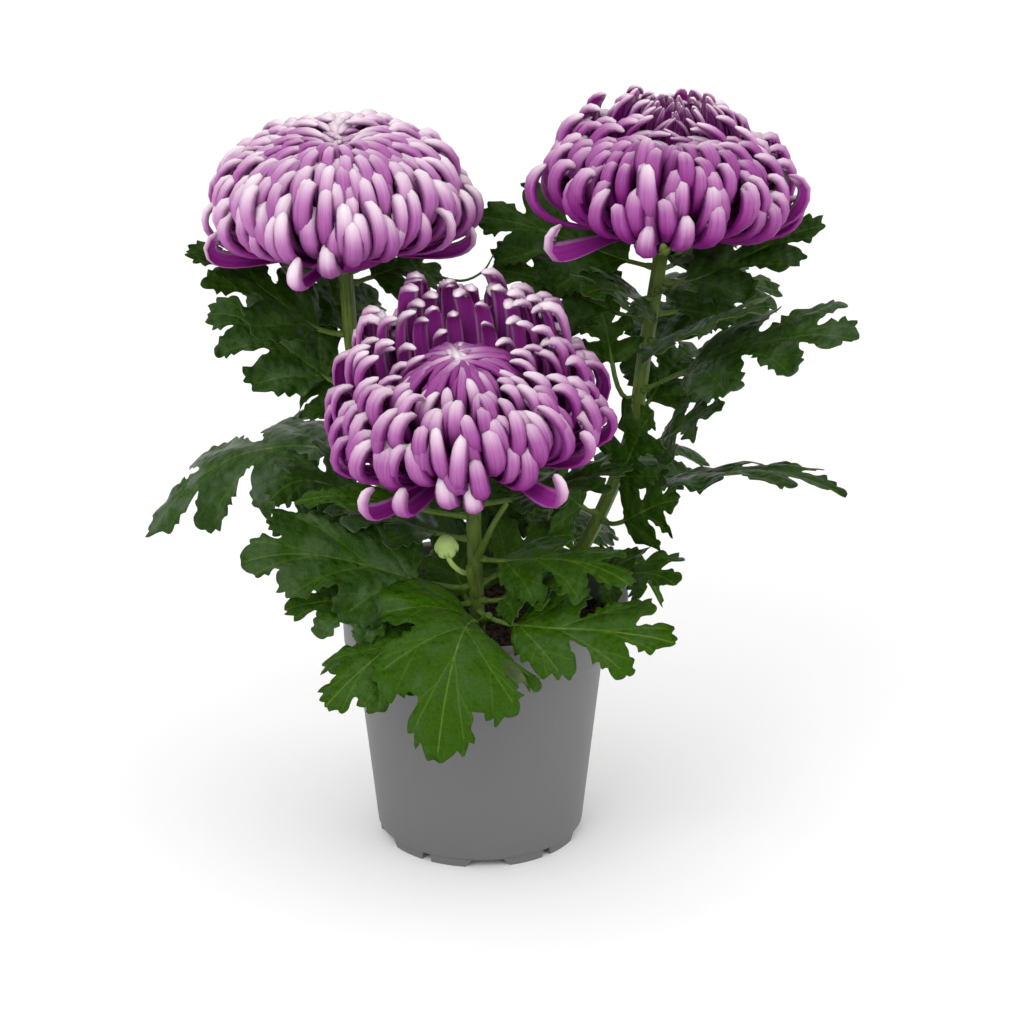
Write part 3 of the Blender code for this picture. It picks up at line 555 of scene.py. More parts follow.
class Growth(Graph):
    """A Geometry Nodes tree, with the geometry it starts from and named inputs for its sizes."""

    def __init__(self, name):
        super().__init__(bpy.data.node_groups.new(name, "GeometryNodeTree"))
        self.keys = {}
        self.source = self.tree.nodes.new("NodeGroupInput")

    def value(self, name, kind, default=None):
        """A named input of the tree."""
        socket = self.tree.interface.new_socket(name, in_out="INPUT", socket_type=f"NodeSocket{kind}")
        if default is not None:
            socket.default_value = default
        self.keys[name] = socket.identifier
        return Link(self, self.source.outputs[name])

    def named(self, name, kind="FLOAT"):
        """An attribute of the geometry."""
        return self.add("GeometryNodeInputNamedAttribute", {"data_type": kind}, name)

    def store(self, geometry, name, value):
        """Keeps a vector on the geometry's points."""
        settings = {"data_type": "FLOAT_VECTOR", "domain": "POINT"}
        return self.add("GeometryNodeStoreNamedAttribute", settings, geometry, None, name, value)

    def join(self, *parts):
        """Several geometries as one."""
        whole = self.add("GeometryNodeJoinGeometry")
        for part in parts:
            self.tree.links.new(part.socket, whole.socket.node.inputs[0])
        return whole

    def finish(self, geometry, look):
        """Ends the tree: real geometry with its material."""
        real = self.add("GeometryNodeRealizeInstances", {}, geometry)
        dressed = self.add("GeometryNodeSetMaterial", {}, real, None, look)
        self.tree.interface.new_socket("Geometry", in_out="OUTPUT", socket_type="NodeSocketGeometry")
        self.add("NodeGroupOutput", {}, dressed)

    def grow(self, name, base, values, slot, nodes=(), place=None):
        """Runs the tree on a mesh and adds what it makes to the plant as one plain piece."""
        piece = new_object(name, base)
        modifier = piece.modifiers.new("growth", "NODES")
        modifier.node_group = self.tree
        for key, value in values.items():
            modifier[self.keys[key]] = value
        mesh = settle(piece)
        mesh.name = name
        bpy.data.meshes.remove(base)
        if not mesh.polygons:
            raise RuntimeError(f"{name} came out empty")
        if place:
            mesh.transform(place)
        point_outwards(mesh)
        return add_piece(piece, nodes)


def sine(value):
    """The sine of a link's number."""
    return value.maths("SINE")


def cosine(value):
    """The cosine of a link's number."""
    return value.maths("COSINE")


def larger(value, limit):
    """A link's number, or the limit where that is larger."""
    return value.maths("MAXIMUM", limit)


def smaller(value, limit):
    """A link's number, or the limit where that is smaller."""
    return value.maths("MINIMUM", limit)


# Pieces


def new_object(name, data):
    """An object in the scene. It takes the place of an earlier one, so that an operator can run
    again."""
    earlier = bpy.data.objects.get(name)
    if earlier:
        bpy.data.objects.remove(earlier, do_unlink=True)
    made = bpy.data.objects.new(name, data)
    bpy.context.scene.collection.objects.link(made)
    return made


def settle(piece):
    """Turns what a piece's modifiers make into its own plain mesh."""
    graph = bpy.context.evaluated_depsgraph_get()
    mesh = bpy.data.meshes.new_from_object(piece.evaluated_get(graph))
    piece.modifiers.clear()
    piece.data = mesh
    return mesh


def point_outwards(mesh):
    """Turns every face of a closed mesh outwards."""
    work = bmesh.new()
    work.from_mesh(mesh)
    bmesh.ops.recalc_face_normals(work, faces=work.faces)
    work.to_mesh(mesh)
    work.free()


def mark_points(mesh, name, values):
    """Keeps a number on each point of a mesh, or a vector where the values are tuples."""
    if isinstance(values[0], tuple):
        data = mesh.attributes.new(name, "FLOAT_VECTOR", "POINT").data
        data.foreach_set("vector", [n for value in values for n in value])
    else:
        mesh.attributes.new(name, "FLOAT", "POINT").data.foreach_set("value", values)


def add_piece(piece, nodes=()):
    """Puts a finished piece on the plant, in place of the solids that it stands for."""
    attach(piece, "root")
    if nodes:
        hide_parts(*nodes)
    return piece


def loose_piece(name, points, faces, look, marks=None):
    """An object from points in millimetres, with numbers on its points for the material."""
    mesh = bpy.data.meshes.new(name)
    mesh.from_pydata([tuple(c * MM for c in p) for p in points], [], faces)
    for key, values in (marks or {}).items():
        mark_points(mesh, key, values)
    mesh.materials.append(look)
    point_outwards(mesh)
    mesh.shade_smooth()
    return new_object(name, mesh)


def mesh_piece(name, points, faces, look, nodes=(), marks=None):
    """A finished piece of the plant from points in millimetres."""
    return add_piece(loose_piece(name, points, faces, look, marks), nodes)


def seed_mesh(rows, edges=()):
    """A mesh with one point for each row, and the row's numbers and vectors as attributes."""
    mesh = bpy.data.meshes.new("seed")
    mesh.from_pydata([row.get("place", (0, 0, 0)) for row in rows], edges, [])
    for key in rows[0]:
        if key != "place":
            mark_points(mesh, key, [row[key] for row in rows])
    return mesh


def new_material(name, rough, shine=0.5):
    """A material, its node tree and its shader node."""
    made = bpy.data.materials.new(name)
    made.use_nodes = True
    shader = made.node_tree.nodes["Principled BSDF"]
    shader.inputs["Roughness"].default_value = rough
    shader.inputs["Specular IOR Level"].default_value = shine
    graph = Graph(made.node_tree)
    return made, graph, shader


def mark(graph, name, output="Fac"):
    """A number or vector that a piece carries on its points."""
    return graph.add("ShaderNodeAttribute", {"attribute_name": name}).other(output)


def noise(graph, vector, scale, detail=2.0):
    """A soft random pattern, from 0 to 1."""
    return graph.add("ShaderNodeTexNoise", {}, vector, Scale=scale, Detail=detail)


def object_place(graph):
    """The place of a point on the plant, in metres."""
    return graph.add("ShaderNodeTexCoord").other("Object")


def add_bump(graph, shader, height, distance, strength):
    """Raises the surface by a pattern."""
    bump = graph.add("ShaderNodeBump", {}, Strength=strength, Distance=distance, Height=height)
    graph.plug(shader.inputs["Normal"], bump)


# The plant's own geometry


def leaning(lean):
    """The way that something looks which leans by degrees toward the front and toward +X."""
    front, side = (math.radians(a) for a in lean)
    return Vector((math.sin(side), -math.sin(front), math.cos(front) * math.cos(side))).normalized()


def frame_at(place, axis):
    """The matrix that carries a bloom's or bud's own frame, in metres, to its place on the plant."""
    first = (Vector((1, 0, 0)) - axis.x * axis).normalized()
    turn = Matrix((first, axis.cross(first), axis)).transposed()
    return Matrix.Translation(Vector(place) * MM) @ turn.to_4x4()


def smooth_path(knots, steps):
    """Points on a smooth curve through the knots."""
    knots = [Vector(k) for k in knots]
    ends = [2 * knots[0] - knots[1]] + knots + [2 * knots[-1] - knots[-2]]
    path = []
    for a, b, c, d in zip(ends, ends[1:], ends[2:], ends[3:]):
        for k in range(steps):
            t = k / steps
            bend = (2 * a - 5 * b + 4 * c - d) * t**2 + (3 * b - 3 * c + d - a) * t**3
            path.append(b + (c - a) * t / 2 + bend / 2)
    return path + [knots[-1]]


def stem_path(plant, steps=3):
    """The stem's centre line from the bottom of its hole to just under the bloom."""
    x, y, _ = plant["path"][0]
    neck = Vector(plant["bloom"]) - leaning(plant["lean"]) * NECK
    return [Vector((x, y, SOIL_TOP - STEM_DEPTH)), *smooth_path([*plant["path"], neck], steps)]


def stem_at(plant, height):
    """The centre of the stem at a height, and the stem's own direction there."""
    path = stem_path(plant)
    for low, high in zip(path, path[1:]):
        if high.z >= height:
            share = (height - low.z) / (high.z - low.z)
            return low.lerp(high, share), (high - low).normalized()
    return path[-1], (path[-1] - path[-2]).normalized()


def square_to(line, toward):
    """The direction nearest to another one that is square to a line."""
    return (toward - toward.dot(line) * line).normalized()


def layer_at(rows, share, behind):
    """The petal curve, width and hook at a share of the way in, between the rows of a table,
    for a petal that stands at the front of the bloom (behind 0) up to its back (behind 1)."""
    pairs = zip(rows, rows[1:])
    low, high = next((pair for pair in pairs if share <= pair[1][0]), (rows[-1], rows[-1]))
    t = (share - low[0]) / max(high[0] - low[0], TINY)
    points = [Vector(a).lerp(Vector(b), t) for a, b in zip(low[1:7], high[1:7])]
    curve = points[:2] + [a.lerp(b, behind) for a, b in zip(points[2:4], points[4:6])]
    return curve, low[7] + t * (high[7] - low[7]), low[8] + t * (high[8] - low[8])


def cubic_at(curve, t):
    """The point of a cubic curve at a share of its way, and its direction."""
    a, b, c, d = curve
    s = 1 - t
    point = s**3 * a + 3 * s * s * t * b + 3 * s * t * t * c + t**3 * d
    ahead = 3 * s * s * (b - a) + 6 * s * t * (c - b) + 3 * t * t * (d - c)
    return point, ahead.normalized()


def smoothstep(value):
    """Goes smoothly from 0 to 1 while the value does."""
    value = min(1.0, max(0.0, value))
    return value * value * (3 - 2 * value)


# Blooms


def petal_growth():
    """Grows one petal on each point: a cupped blade along the point's own curve, with its tip
    hooked in."""
    growth = Growth("Petals")
    points = growth.value("Geometry", "Geometry")
    wide = growth.value("Width", "Float", 1.0)
    thick = growth.value("Thickness", "Float", 1.1 * MM)
    curl = growth.value("Curl", "Float", 2.1)
    hook_length = growth.value("Hook length", "Float", 8 * MM)
    rings = growth.value("Rings", "Int", PETAL_RINGS)
    heart_radius = growth.value("Heart radius", "Float", 0.01)
    heart_height = growth.value("Heart height", "Float", 0.01)
    look = growth.value("Material", "Material")

    settings = {"fill_type": "NGON"}
    rod = growth.add("GeometryNodeMeshCylinder", settings, PETAL_SIDES, rings, 1, 1.0, 1.0)
    rod = growth.store(rod, "blade", growth.add("GeometryNodeInputPosition"))
    petals = growth.add("GeometryNodeInstanceOnPoints", {}, points, None, rod)
    petals = growth.add("GeometryNodeRealizeInstances", {}, petals)
    across, through, height = growth.named("blade", "FLOAT_VECTOR").split()
    across = across.maths("ARCSINE") * (2 / math.pi)
    along = 1 - larger(0.5 - height, 0.0) ** RING_CROWDING

    # The spine: a cubic curve, then an arc for the hooked tip.
    t = smaller(along / HOOK_FROM, 1.0)
    rest = 1 - t
    a, b, c, d = (growth.named(key, "FLOAT_VECTOR") for key in "abcd")
    spot = a * rest**3 + b * (rest**2 * t * 3) + c * (rest * t**2 * 3) + d * t**3
    run = (b - a) * rest**2 + (c - b) * (rest * t * 2) + (d - c) * t**2
    ahead = run.maths("NORMALIZE")
    inner = ahead.maths("CROSS_PRODUCT", (0.0, 1.0, 0.0))
    hook = growth.named("hook")
    turn = larger(along - HOOK_FROM, 0.0) / (1 - HOOK_FROM) * hook
    reach = hook_length / hook
    spot = spot + ahead * (sine(turn) * reach) + inner * ((1 - cosine(turn)) * reach)
    normal = inner * cosine(turn) - ahead * sine(turn)

    # The section: an arc as wide as the petal, rolled and swayed more and more along it.
    swell = growth.ramp(along, 0.0, FULL_FROM, FOOT_WIDTH, 1.0)
    narrow = larger(along - NARROW_FROM, 0.0) / NARROW_SPAN
    wide = growth.named("width") * wide * swell * larger(1 - narrow**3, 0.0) ** 0.5
    foot_curl, gain, tip_gain = CURLS
    opening = curl * (foot_curl + along * gain + larger(along - CURL_TIP, 0.0) * tip_gain)
    radius = wide / opening
    angle = across * opening * 0.5
    skin = through * thick * 0.5
    shift = sine(angle) * (radius - skin) + growth.named("sway") * along**2
    lift = radius * (1 - cosine(angle)) - radius * HOLLOW + skin * cosine(angle)
    roll = growth.named("roll") * along
    level = growth.add("ShaderNodeCombineXYZ", {}, 0.0, 1.0, 0.0)
    side = level * cosine(roll) + normal * sine(roll)
    normal = normal * cosine(roll) - level * sine(roll)
    place = spot + side * shift + normal * lift
    settings = {"rotation_type": "Z_AXIS"}
    bearing = growth.named("bearing")
    place = growth.add("ShaderNodeVectorRotate", settings, place, (0, 0, 0), bearing)
    petals = growth.add("GeometryNodeSetPosition", {}, petals, None, place)
    blade = growth.add("ShaderNodeCombineXYZ", {}, across, through, along)
    petals = growth.store(petals, "blade", blade)

    heart = growth.add("GeometryNodeMeshUVSphere", {}, Segments=20, Rings=12, Radius=1.0)
    half_height = heart_height * (1 - HEART_LOW)
    size = growth.add("ShaderNodeCombineXYZ", {}, heart_radius, heart_radius, half_height)
    lift = growth.add("ShaderNodeCombineXYZ", {}, 0.0, 0.0, heart_height * HEART_LOW)
    heart = growth.add("GeometryNodeTransform", {}, heart, lift, None, size)
    smooth = growth.add("GeometryNodeSetShadeSmooth", {}, growth.join(heart, petals))
    growth.finish(smooth, look)
    return growth


def petal_inputs(look, heart, rings, curl, thickness, hook):
    """What the petal tree is told: the heart's radius and height in millimetres, the curl in
    radians, and the thickness and the hooked tip's length in metres."""
    radius, height = heart
    return {
        "Thickness": thickness,
        "Curl": curl,
        "Hook length": hook,
        "Rings": rings,
        "Heart radius": radius * MM,
        "Heart height": height * MM,
        "Material": look,
    }


def petal_row(curve, bearing, width, hook, sway, roll, tone, share):
    """What one petal needs, in metres and radians."""
    row = {key: (p.x * MM, 0.0, p.y * MM) for key, p in zip("abcd", curve)}
    row["bearing"] = math.radians(bearing)
    row["width"] = width * MM
    row["hook"] = hook
    row["sway"] = sway * MM
    row["roll"] = roll
    row["tone"] = tone
    row["share"] = share
    return row


def tilted(curve, degrees):
    """A petal's curve turned about its foot."""
    turn = Matrix.Rotation(math.radians(degrees), 2)
    return [curve[0] + turn @ (p - curve[0]) for p in curve]


def bloom_rows(name, count):
    """The petals of a bloom, from the outside in, each turned by the golden angle."""
    source = random.Random(f"petals {name}")
    start, span = BACK_BLEND
    rows = []
    for k in range(count):
        share = k / (count - 1)
        facing = math.sin(math.radians(k * GOLDEN_ANGLE))
        behind = max(0.0, facing)
        before = max(0.0, -facing)
        ease = (1 - INNER_CALM * share) * (1 + BACK_LOOSE * behind)
        loose = {key: source.uniform(-most, most) * ease for key, most in LOOSENESS[name].items()}
        bearing = k * GOLDEN_ANGLE + loose["bearing"]
        back = smoothstep((facing + start) / span)
        curve, width, hook = layer_at(LAYERS[name], share, back)
        curve = [p * (1 + loose["stretch"]) for p in curve]
        curve = tilted(curve, loose["tilt"] + FRONT_LIFT[name] * before * (1 - share))
        tone = PETAL_TONES[name] + source.uniform(-TONE_SPREAD, TONE_SPREAD)
        tone -= FRONT_FADE * before * (1 - share)
        width *= source.uniform(*WIDTH_RANGE) * (1 + BACK_GAIN * behind)
        hook *= source.uniform(*HOOK_RANGE) * (1 + BACK_GAIN * behind)
        rows.append(petal_row(curve, bearing, width, hook, loose["sway"], loose["roll"], tone, share))
    for owner, bearing, *curve, width, hook, roll in STRAYS:
        if owner == name:
            curve = [Vector(p) for p in curve]
            tone = PETAL_TONES[name] + source.uniform(-TONE_SPREAD, TONE_SPREAD)
            sway = source.uniform(-STRAY_SWAY, STRAY_SWAY)
            rows.append(petal_row(curve, bearing, width, hook, sway, roll, tone, 0.0))
    return rows


def petal_material(blooms):
    """Lilac on a petal's back, paler down its middle and at its tip, partly its own cream tip and partly
    a painted highlight, and magenta inside.
    """
    look, graph, shader = new_material("petal", 0.5, 0.25)
    across, through, along = mark(graph, "blade", "Vector").split()
    tone = mark(graph, "tone")
    share = mark(graph, "share")
    from_middle = across.maths("ABSOLUTE")

    # The back: streaked, deep at its foot and lilac above, with a pale tip that is partly a painted
    # highlight, and deeper sides that are partly the petal's own colour and partly painted shade between
    # the petals.
    grain = graph.add("ShaderNodeCombineXYZ", {}, across * 4.5, tone * 60 + through * 0.5, along * 1.1)
    streak = graph.ramp(noise(graph, grain, 1.6, 3.0), 0.38, 0.66)
    foot = graph.ramp(along + tone * -0.4, 0.25, 0.8)
    back = graph.blend(foot, blooms.base_and_painted_shade_colour, blooms.back_colour)
    back = graph.blend(streak * (0.2 + tone * 0.5), back, blooms.base_and_painted_shade_colour)
    # Painted highlight: paler down the middle toward the tip, partly the tip's own cream colour.
    tip = graph.ramp(along + tone * -0.18, 0.64, 0.92) * (1.0 - from_middle * 0.5)
    back = graph.blend(tip, back, blooms.tip_and_painted_highlight_colour)
    # Painted shade: the sides darken toward the foot colour, so that the petals part with dark lines;
    # partly the petal's own darker edges.
    side = graph.ramp(from_middle, 0.35, 0.95) * (0.6 + tone * 0.4)
    back = graph.blend(side, back, blooms.base_and_painted_shade_colour)

    # The hollow side: magenta, deeper at its foot, partly its own colour and partly painted shade, with
    # a pale rim that is partly a painted highlight.
    # Painted shade: the deep colour near the foot stands partly for the shade inside the bloom.
    inner = graph.blend(graph.ramp(along, 0.1, 0.8), blooms.deep_and_painted_shade_colour, blooms.inner_colour)
    inner = graph.blend(streak * 0.35, inner, blooms.base_and_painted_shade_colour)
    # Painted highlight: the pale rim and the inside of the tip, partly the petal's own pale edge.
    rim = graph.ramp(from_middle, 0.66, 0.96) * graph.ramp(along, 0.1, 0.7)
    rim = larger(rim, graph.ramp(along, 0.88, 0.97))
    inner = graph.blend(rim * 0.6, inner, blooms.tip_and_painted_highlight_colour)

    # Both together. The petals round the heart are a little deeper.
    colour = graph.blend(graph.ramp(through, 0.0, 0.45), back, inner)
    centre = graph.ramp(share, 0.78, 1.0) * 0.3
    graph.plug(shader.inputs["Base Color"], graph.blend(centre, colour, blooms.base_and_painted_shade_colour))
    shader.inputs["Subsurface Weight"].default_value = 0.25
    shader.inputs["Subsurface Radius"].default_value = (0.9, 0.4, 0.8)
    shader.inputs["Subsurface Scale"].default_value = 0.005
    add_bump(graph, shader, streak, 0.0006, 0.35)
    return look


def bract_rows(rings, seed):
    """Green bracts in overlapping rings."""
    source = random.Random(seed)
    rows = []
    for ring, (count, curve, width) in enumerate(rings):
        curve = [Vector(p) for p in curve]
        for k in range(count):
            bearing = 360 * (k + 0.5 * (ring % 2)) / count + source.uniform(-BRACT_TURN, BRACT_TURN)
            tone = source.random()
            sway = BRACT_SWAY * (1 - 2 * tone)
            rows.append(petal_row(curve, bearing, width, BRACT_HOOK, sway, 0.0, tone, BRACT_SHARE))
    return rows


# Stems


def stem_growth():
    """A ribbed tube round a line, as wide at each point as the line says."""
    growth = Growth("Stem")
    line = growth.value("Geometry", "Geometry")
    sides = growth.value("Sides", "Int", 30)
    ribs = growth.value("Ribs", "Float", 6.0)
    rib_height = growth.value("Rib height", "Float", 0.06)
    look = growth.value("Material", "Material")
    curve = growth.add("GeometryNodeMeshToCurve", {}, line)
    ring = growth.add("GeometryNodeCurvePrimitiveCircle", {}, sides, Radius=1.0)
    place = growth.add("GeometryNodeInputPosition")
    x, y, _ = place.split()
    swell = 1 + cosine(y.maths("ARCTAN2", x) * ribs) * rib_height
    ring = growth.add("GeometryNodeSetPosition", {}, ring, None, place * swell)
    tube = growth.add("GeometryNodeCurveToMesh", {}, curve, ring, growth.named("radius"), True)
    growth.finish(growth.add("GeometryNodeSetShadeSmooth", {}, tube), look)
    return growth


def line_mesh(path, radii):
    """A line of points with a radius at each, all given in millimetres."""
    rows = [{"place": tuple(p * MM), "radius": r * MM} for p, r in zip(path, radii)]
    return seed_mesh(rows, [(k, k + 1) for k in range(len(rows) - 1)])


def stem_material(stems):
    """Green with darker patches, and a fine grain along the stem."""
    look, graph, shader = new_material("stem", 0.45, 0.25)
    place = object_place(graph)
    patch = graph.ramp(noise(graph, place, 90.0, 3.0), 0.35, 0.7)
    grain = graph.ramp(noise(graph, place * (1.0, 1.0, 0.12), 900.0, 2.0), 0.35, 0.65)
    colour = graph.blend(patch * 0.6, stems.colour, stems.shade_colour)
    colour = graph.blend(grain * 0.3, colour, stems.shade_colour)
    graph.plug(shader.inputs["Base Color"], colour)
    add_bump(graph, shader, grain, 0.0003, 0.5)
    return look


def bud_material(stems):
    """Green bracts that are paler down their middle and at their tips."""
    look, graph, shader = new_material("bud", 0.5, 0.25)
    across, _, along = mark(graph, "blade", "Vector").split()
    grain = noise(graph, object_place(graph), 500.0, 2.0)
    middle = 1 - graph.ramp(across.maths("ABSOLUTE"), 0.2, 0.95)
    colour = graph.blend(graph.ramp(along, 0.3, 0.95) * middle, stems.bud_colour, stems.bud_tip_colour)
    colour = graph.blend(graph.ramp(grain, 0.4, 0.7) * 0.3, colour, stems.colour)
    graph.plug(shader.inputs["Base Color"], colour)
    add_bump(graph, shader, grain, 0.0003, 0.5)
    return look


# Leaves


def rounded(points, rounds):
    """Cuts the corners of an open line, which rounds it."""
    for _ in range(rounds):
        inner = []
        for p, q in zip(points, points[1:]):
            inner += [p.lerp(q, 0.25), p.lerp(q, 0.75)]
        points = [points[0], *inner[1:-1], points[-1]]
    return points


def resampled(points, step):
    """The same flat line with points at equal steps."""
    lengths = [0.0]
    for p, q in zip(points, points[1:]):
        lengths.append(lengths[-1] + (q - p).length)
    count = max(4, round(lengths[-1] / step))
    xs = [p.x for p in points]
    ys = [p.y for p in points]
    at = np.linspace(0, lengths[-1], count + 1)
    return [Vector(p) for p in zip(np.interp(at, lengths, xs), np.interp(at, lengths, ys))]


def square_out(line, k):
    """The flat direction square to a line at one of its points, to the right of the way it runs."""
    run = line[min(k + 1, len(line) - 1)] - line[max(k - 1, 0)]
    return Vector((run.y, -run.x)).normalized()


def leaf_outline(name, length, width, leaves):
    """The blade's edge as (along, across) points, counter-clockwise: lobes with teeth."""
    source = random.Random(f"leaf {name}")
    small = width < SMALL_BLADE_WIDTH
    half = BROAD_HALF_BLADE if name in BROAD_LEAVES else HALF_BLADE
    if small:
        half = SMALL_HALF_BLADE
    sinuses = []
    sides = []
    for sign, skew in ((-1, 0.0), (1, LEAF_SKEW)):
        side = []
        for a, b in half:
            a += skew + source.uniform(-LOBE_SHIFT, LOBE_SHIFT)
            b *= sign
            side.append(Vector((a * length, b * source.uniform(*LOBE_STRETCH) * width)))
        sides.append(side)
        for a, b in SMALL_SINUSES if small else SINUSES:
            sinuses.append(Vector(((a + skew) * length, sign * b * width)))
    stalk = PETIOLE_RADIUS * BLADE_FOOT
    tip = Vector((length, 0.0))
    right = rounded([Vector((0.0, -stalk)), *sides[0], tip], 2)
    left = rounded([tip, *sides[1][::-1], Vector((0.0, stalk))], 2)
    pitch = leaves.tooth_pitch / MM * (SMALL_TOOTH if small else 1.0)
    rise, fall = TOOTH_SIDES
    wander, often = TOOTH_WANDER
    calm, start = TOOTH_FADE
    edge = []
    for line, forward in ((right, True), (left, False)):
        line = resampled(line, OUTLINE_STEP)
        total = len(line) - 1
        teeth = max(3, round(total * OUTLINE_STEP / pitch))
        phase = source.uniform(0, 2 * math.pi)
        heights = [source.uniform(*TOOTH_RANGE) for _ in range(teeth + 3)]
        for k, p in enumerate(line):
            u = k / total * teeth
            u += wander * math.sin(often * u + phase) + 1
            part = u % 1.0 if forward else 1 - u % 1.0
            tooth = (min(part / rise, (1 - part) / fall) - TOOTH_DIP) * heights[int(u)]
            near = min((p - s).length for s in sinuses)
            fade = min(1, max(0, near / calm - start)) * min(1, p.x / (FOOT_FADE * length))
            fade *= min(1, (total - k if forward else k) / END_FADE)
            edge.append(p + square_out(line, k) * tooth * max(fade, 0.0) * leaves.tooth_height / MM)
    return edge


def vein_lines(length, width):
    """The veins as (points, strength): the midrib, the side veins and the fine ones."""

    def end(a, b, sign, skew):
        """Where a vein ends, a little inside the edge."""
        return Vector(((a + skew) * length, sign * b * width * VEIN_REACH))

    lines = [([Vector((0.0, 0.0)), Vector((length * MIDRIB_END, 0.0))], 1.0)]
    for sign, skew in ((-1, 0.0), (1, LEAF_SKEW)):
        mains = []
        for start, (a, b), strength in VEINS:
            first = Vector((start * length, 0.0))
            last = end(a, b, sign, skew)
            middle = first.lerp(last, 0.5) + Vector((VEIN_BEND * length, 0.0))
            line = rounded([first, middle, last], 2)
            mains.append(line)
            lines.append((line, strength))
        for main, share, (a, b) in FINE_VEINS:
            line = mains[main]
            first = line[round(share * (len(line) - 1))]
            lines.append(([first, end(a, b, sign, skew)], FINE_STRENGTH))
    return lines


def flat_array(points):
    """Points as an array with one row each."""
    return np.array([tuple(p) for p in points])


def vein_distance(points, lines):
    """For each flat point: the distance to the nearest vein, to the nearest main vein, and the
    strength of the vein that it lies on."""
    flat = flat_array(points)
    nearest = np.full(len(flat), FAR)
    main = np.full(len(flat), FAR)
    strength = np.zeros(len(flat))
    for line, power in lines:
        for p, q in zip(line, line[1:]):
            p, q = np.array(p), np.array(q)
            run = q - p
            t = np.clip(((flat - p) @ run) / max(run @ run, TINY), 0, 1)
            apart = np.linalg.norm(flat - p - t[:, None] * run, axis=1)
            nearest = np.minimum(nearest, apart)
            if power > FINE_STRENGTH:
                main = np.minimum(main, apart)
            strength = np.maximum(strength, power * np.clip(1 - apart / VEIN_HALF, 0, 1))
    return nearest, main, strength


def inside(points, edge):
    """Which points lie inside a closed line."""
    x, y = points.T
    within = np.zeros(len(points), bool)
    ring = flat_array(edge)
    for (x1, y1), (x2, y2) in zip(ring, np.roll(ring, -1, axis=0)):
        if y1 == y2:
            continue
        crosses = (y1 > y) != (y2 > y)
        within ^= crosses & (x < (x2 - x1) * (y - y1) / (y2 - y1) + x1)
    return within


def leaf_net(edge, lines, length, width, seed):
    """The flat blade as points and faces: its edge, its veins and an even fill."""
    source = random.Random(seed)
    extra = []
    for line, _ in lines:
        line = resampled(line, VEIN_STEP)
        for k, p in enumerate(line):
            out = square_out(line, k) * VEIN_HALF
            extra += [p, p + out, p - out]
    fill = []
    rows = math.ceil(length / (GRID_STEP * GRID_ROW)) + 2
    columns = math.ceil(width * GRID_WIDTH / GRID_STEP)
    for row in range(rows):
        for column in range(-columns // 2, columns // 2 + 1):
            jitter = source.uniform(-GRID_JITTER, GRID_JITTER)
            across = (column + 0.5 * (row % 2) + jitter) * GRID_STEP
            fill.append((row * GRID_STEP * GRID_ROW + GRID_START, across))
    ring = flat_array(edge)

    def from_edge(points):
        """How far each point lies from the edge."""
        return np.min(np.linalg.norm(points[:, None] - ring[None], axis=2), axis=1)

    extra = flat_array(extra)
    extra = extra[inside(extra, edge) & (from_edge(extra) > EDGE_CLEAR)]
    fill = flat_array(fill)
    fill = fill[inside(fill, edge)]
    clear = vein_distance(fill, lines)[0] > VEIN_HALF * 2
    fill = fill[clear & (from_edge(fill) > FILL_CLEAR)]
    flat = [*edge, *(Vector(p) for p in extra), *(Vector(p) for p in fill)]
    count = len(edge)
    ties = [(k, (k + 1) % count) for k in range(count)]
    whole = [list(range(count))]
    flat, _, faces, *_ = delaunay_2d_cdt(flat, ties, whole, ONLY_INSIDE, MERGE_WITHIN)
    return flat, faces


def leaf_spine(name, start, heading, tip, bow):
    """The curve of the leaf's midrib, square to the stem where it leaves it."""
    if name in STALK_AIMS:
        near = Vector(STALK_AIMS[name])
    else:
        near = start + heading * (tip - start).length * STALK_REACH
    far = start.lerp(tip, BOW_PLACE) + Vector((0, 0, bow * 2))
    return start, near, far, tip


class LeafSurface:
    """Carries flat (along, across) points to their places on one leaf of the plant."""

    def __init__(self, name, stem, row):
        height, tip, bow, width, (bearing, elevation), fold, petiole = row
        centre, along_stem = stem_at(STEMS[stem], height)
        heading = square_to(along_stem, Vector(STALK_AIMS.get(name, tip)) - centre)
        start = centre + heading * (STEM_RADIUS + STALK_CLEAR)
        self.curve = leaf_spine(name, start, heading, Vector(tip), bow)
        steps = [cubic_at(self.curve, k / SPINE_STEPS)[0] for k in range(SPINE_STEPS + 1)]
        self.total = sum((b - a).length for a, b in zip(steps, steps[1:]))
        self.petiole = petiole
        self.length = self.total - petiole
        self.width = width
        self.fold = math.radians(fold)
        bearing, elevation = math.radians(bearing), math.radians(elevation)
        flat = math.cos(elevation)
        self.looks = Vector((math.cos(bearing) * flat, math.sin(bearing) * flat, math.sin(elevation)))

    def at(self, a):
        """The midrib's point, its direction, the side direction and the upper face's normal."""
        t = (a + self.petiole) / self.total
        point, ahead = cubic_at(self.curve, t)
        side = ahead.cross(self.looks).normalized()
        return point, ahead, side, side.cross(ahead)

    def place(self, a, b, lift):
        """A point of the blade, raised from it by lift."""
        point, _, side, normal = self.at(a)
        across = abs(b)
        curl = math.sin(self.fold) * across - LEAF_DROOP * across**2 / (self.width / 2)
        return point - side * b * math.cos(self.fold) + normal * (curl + lift)


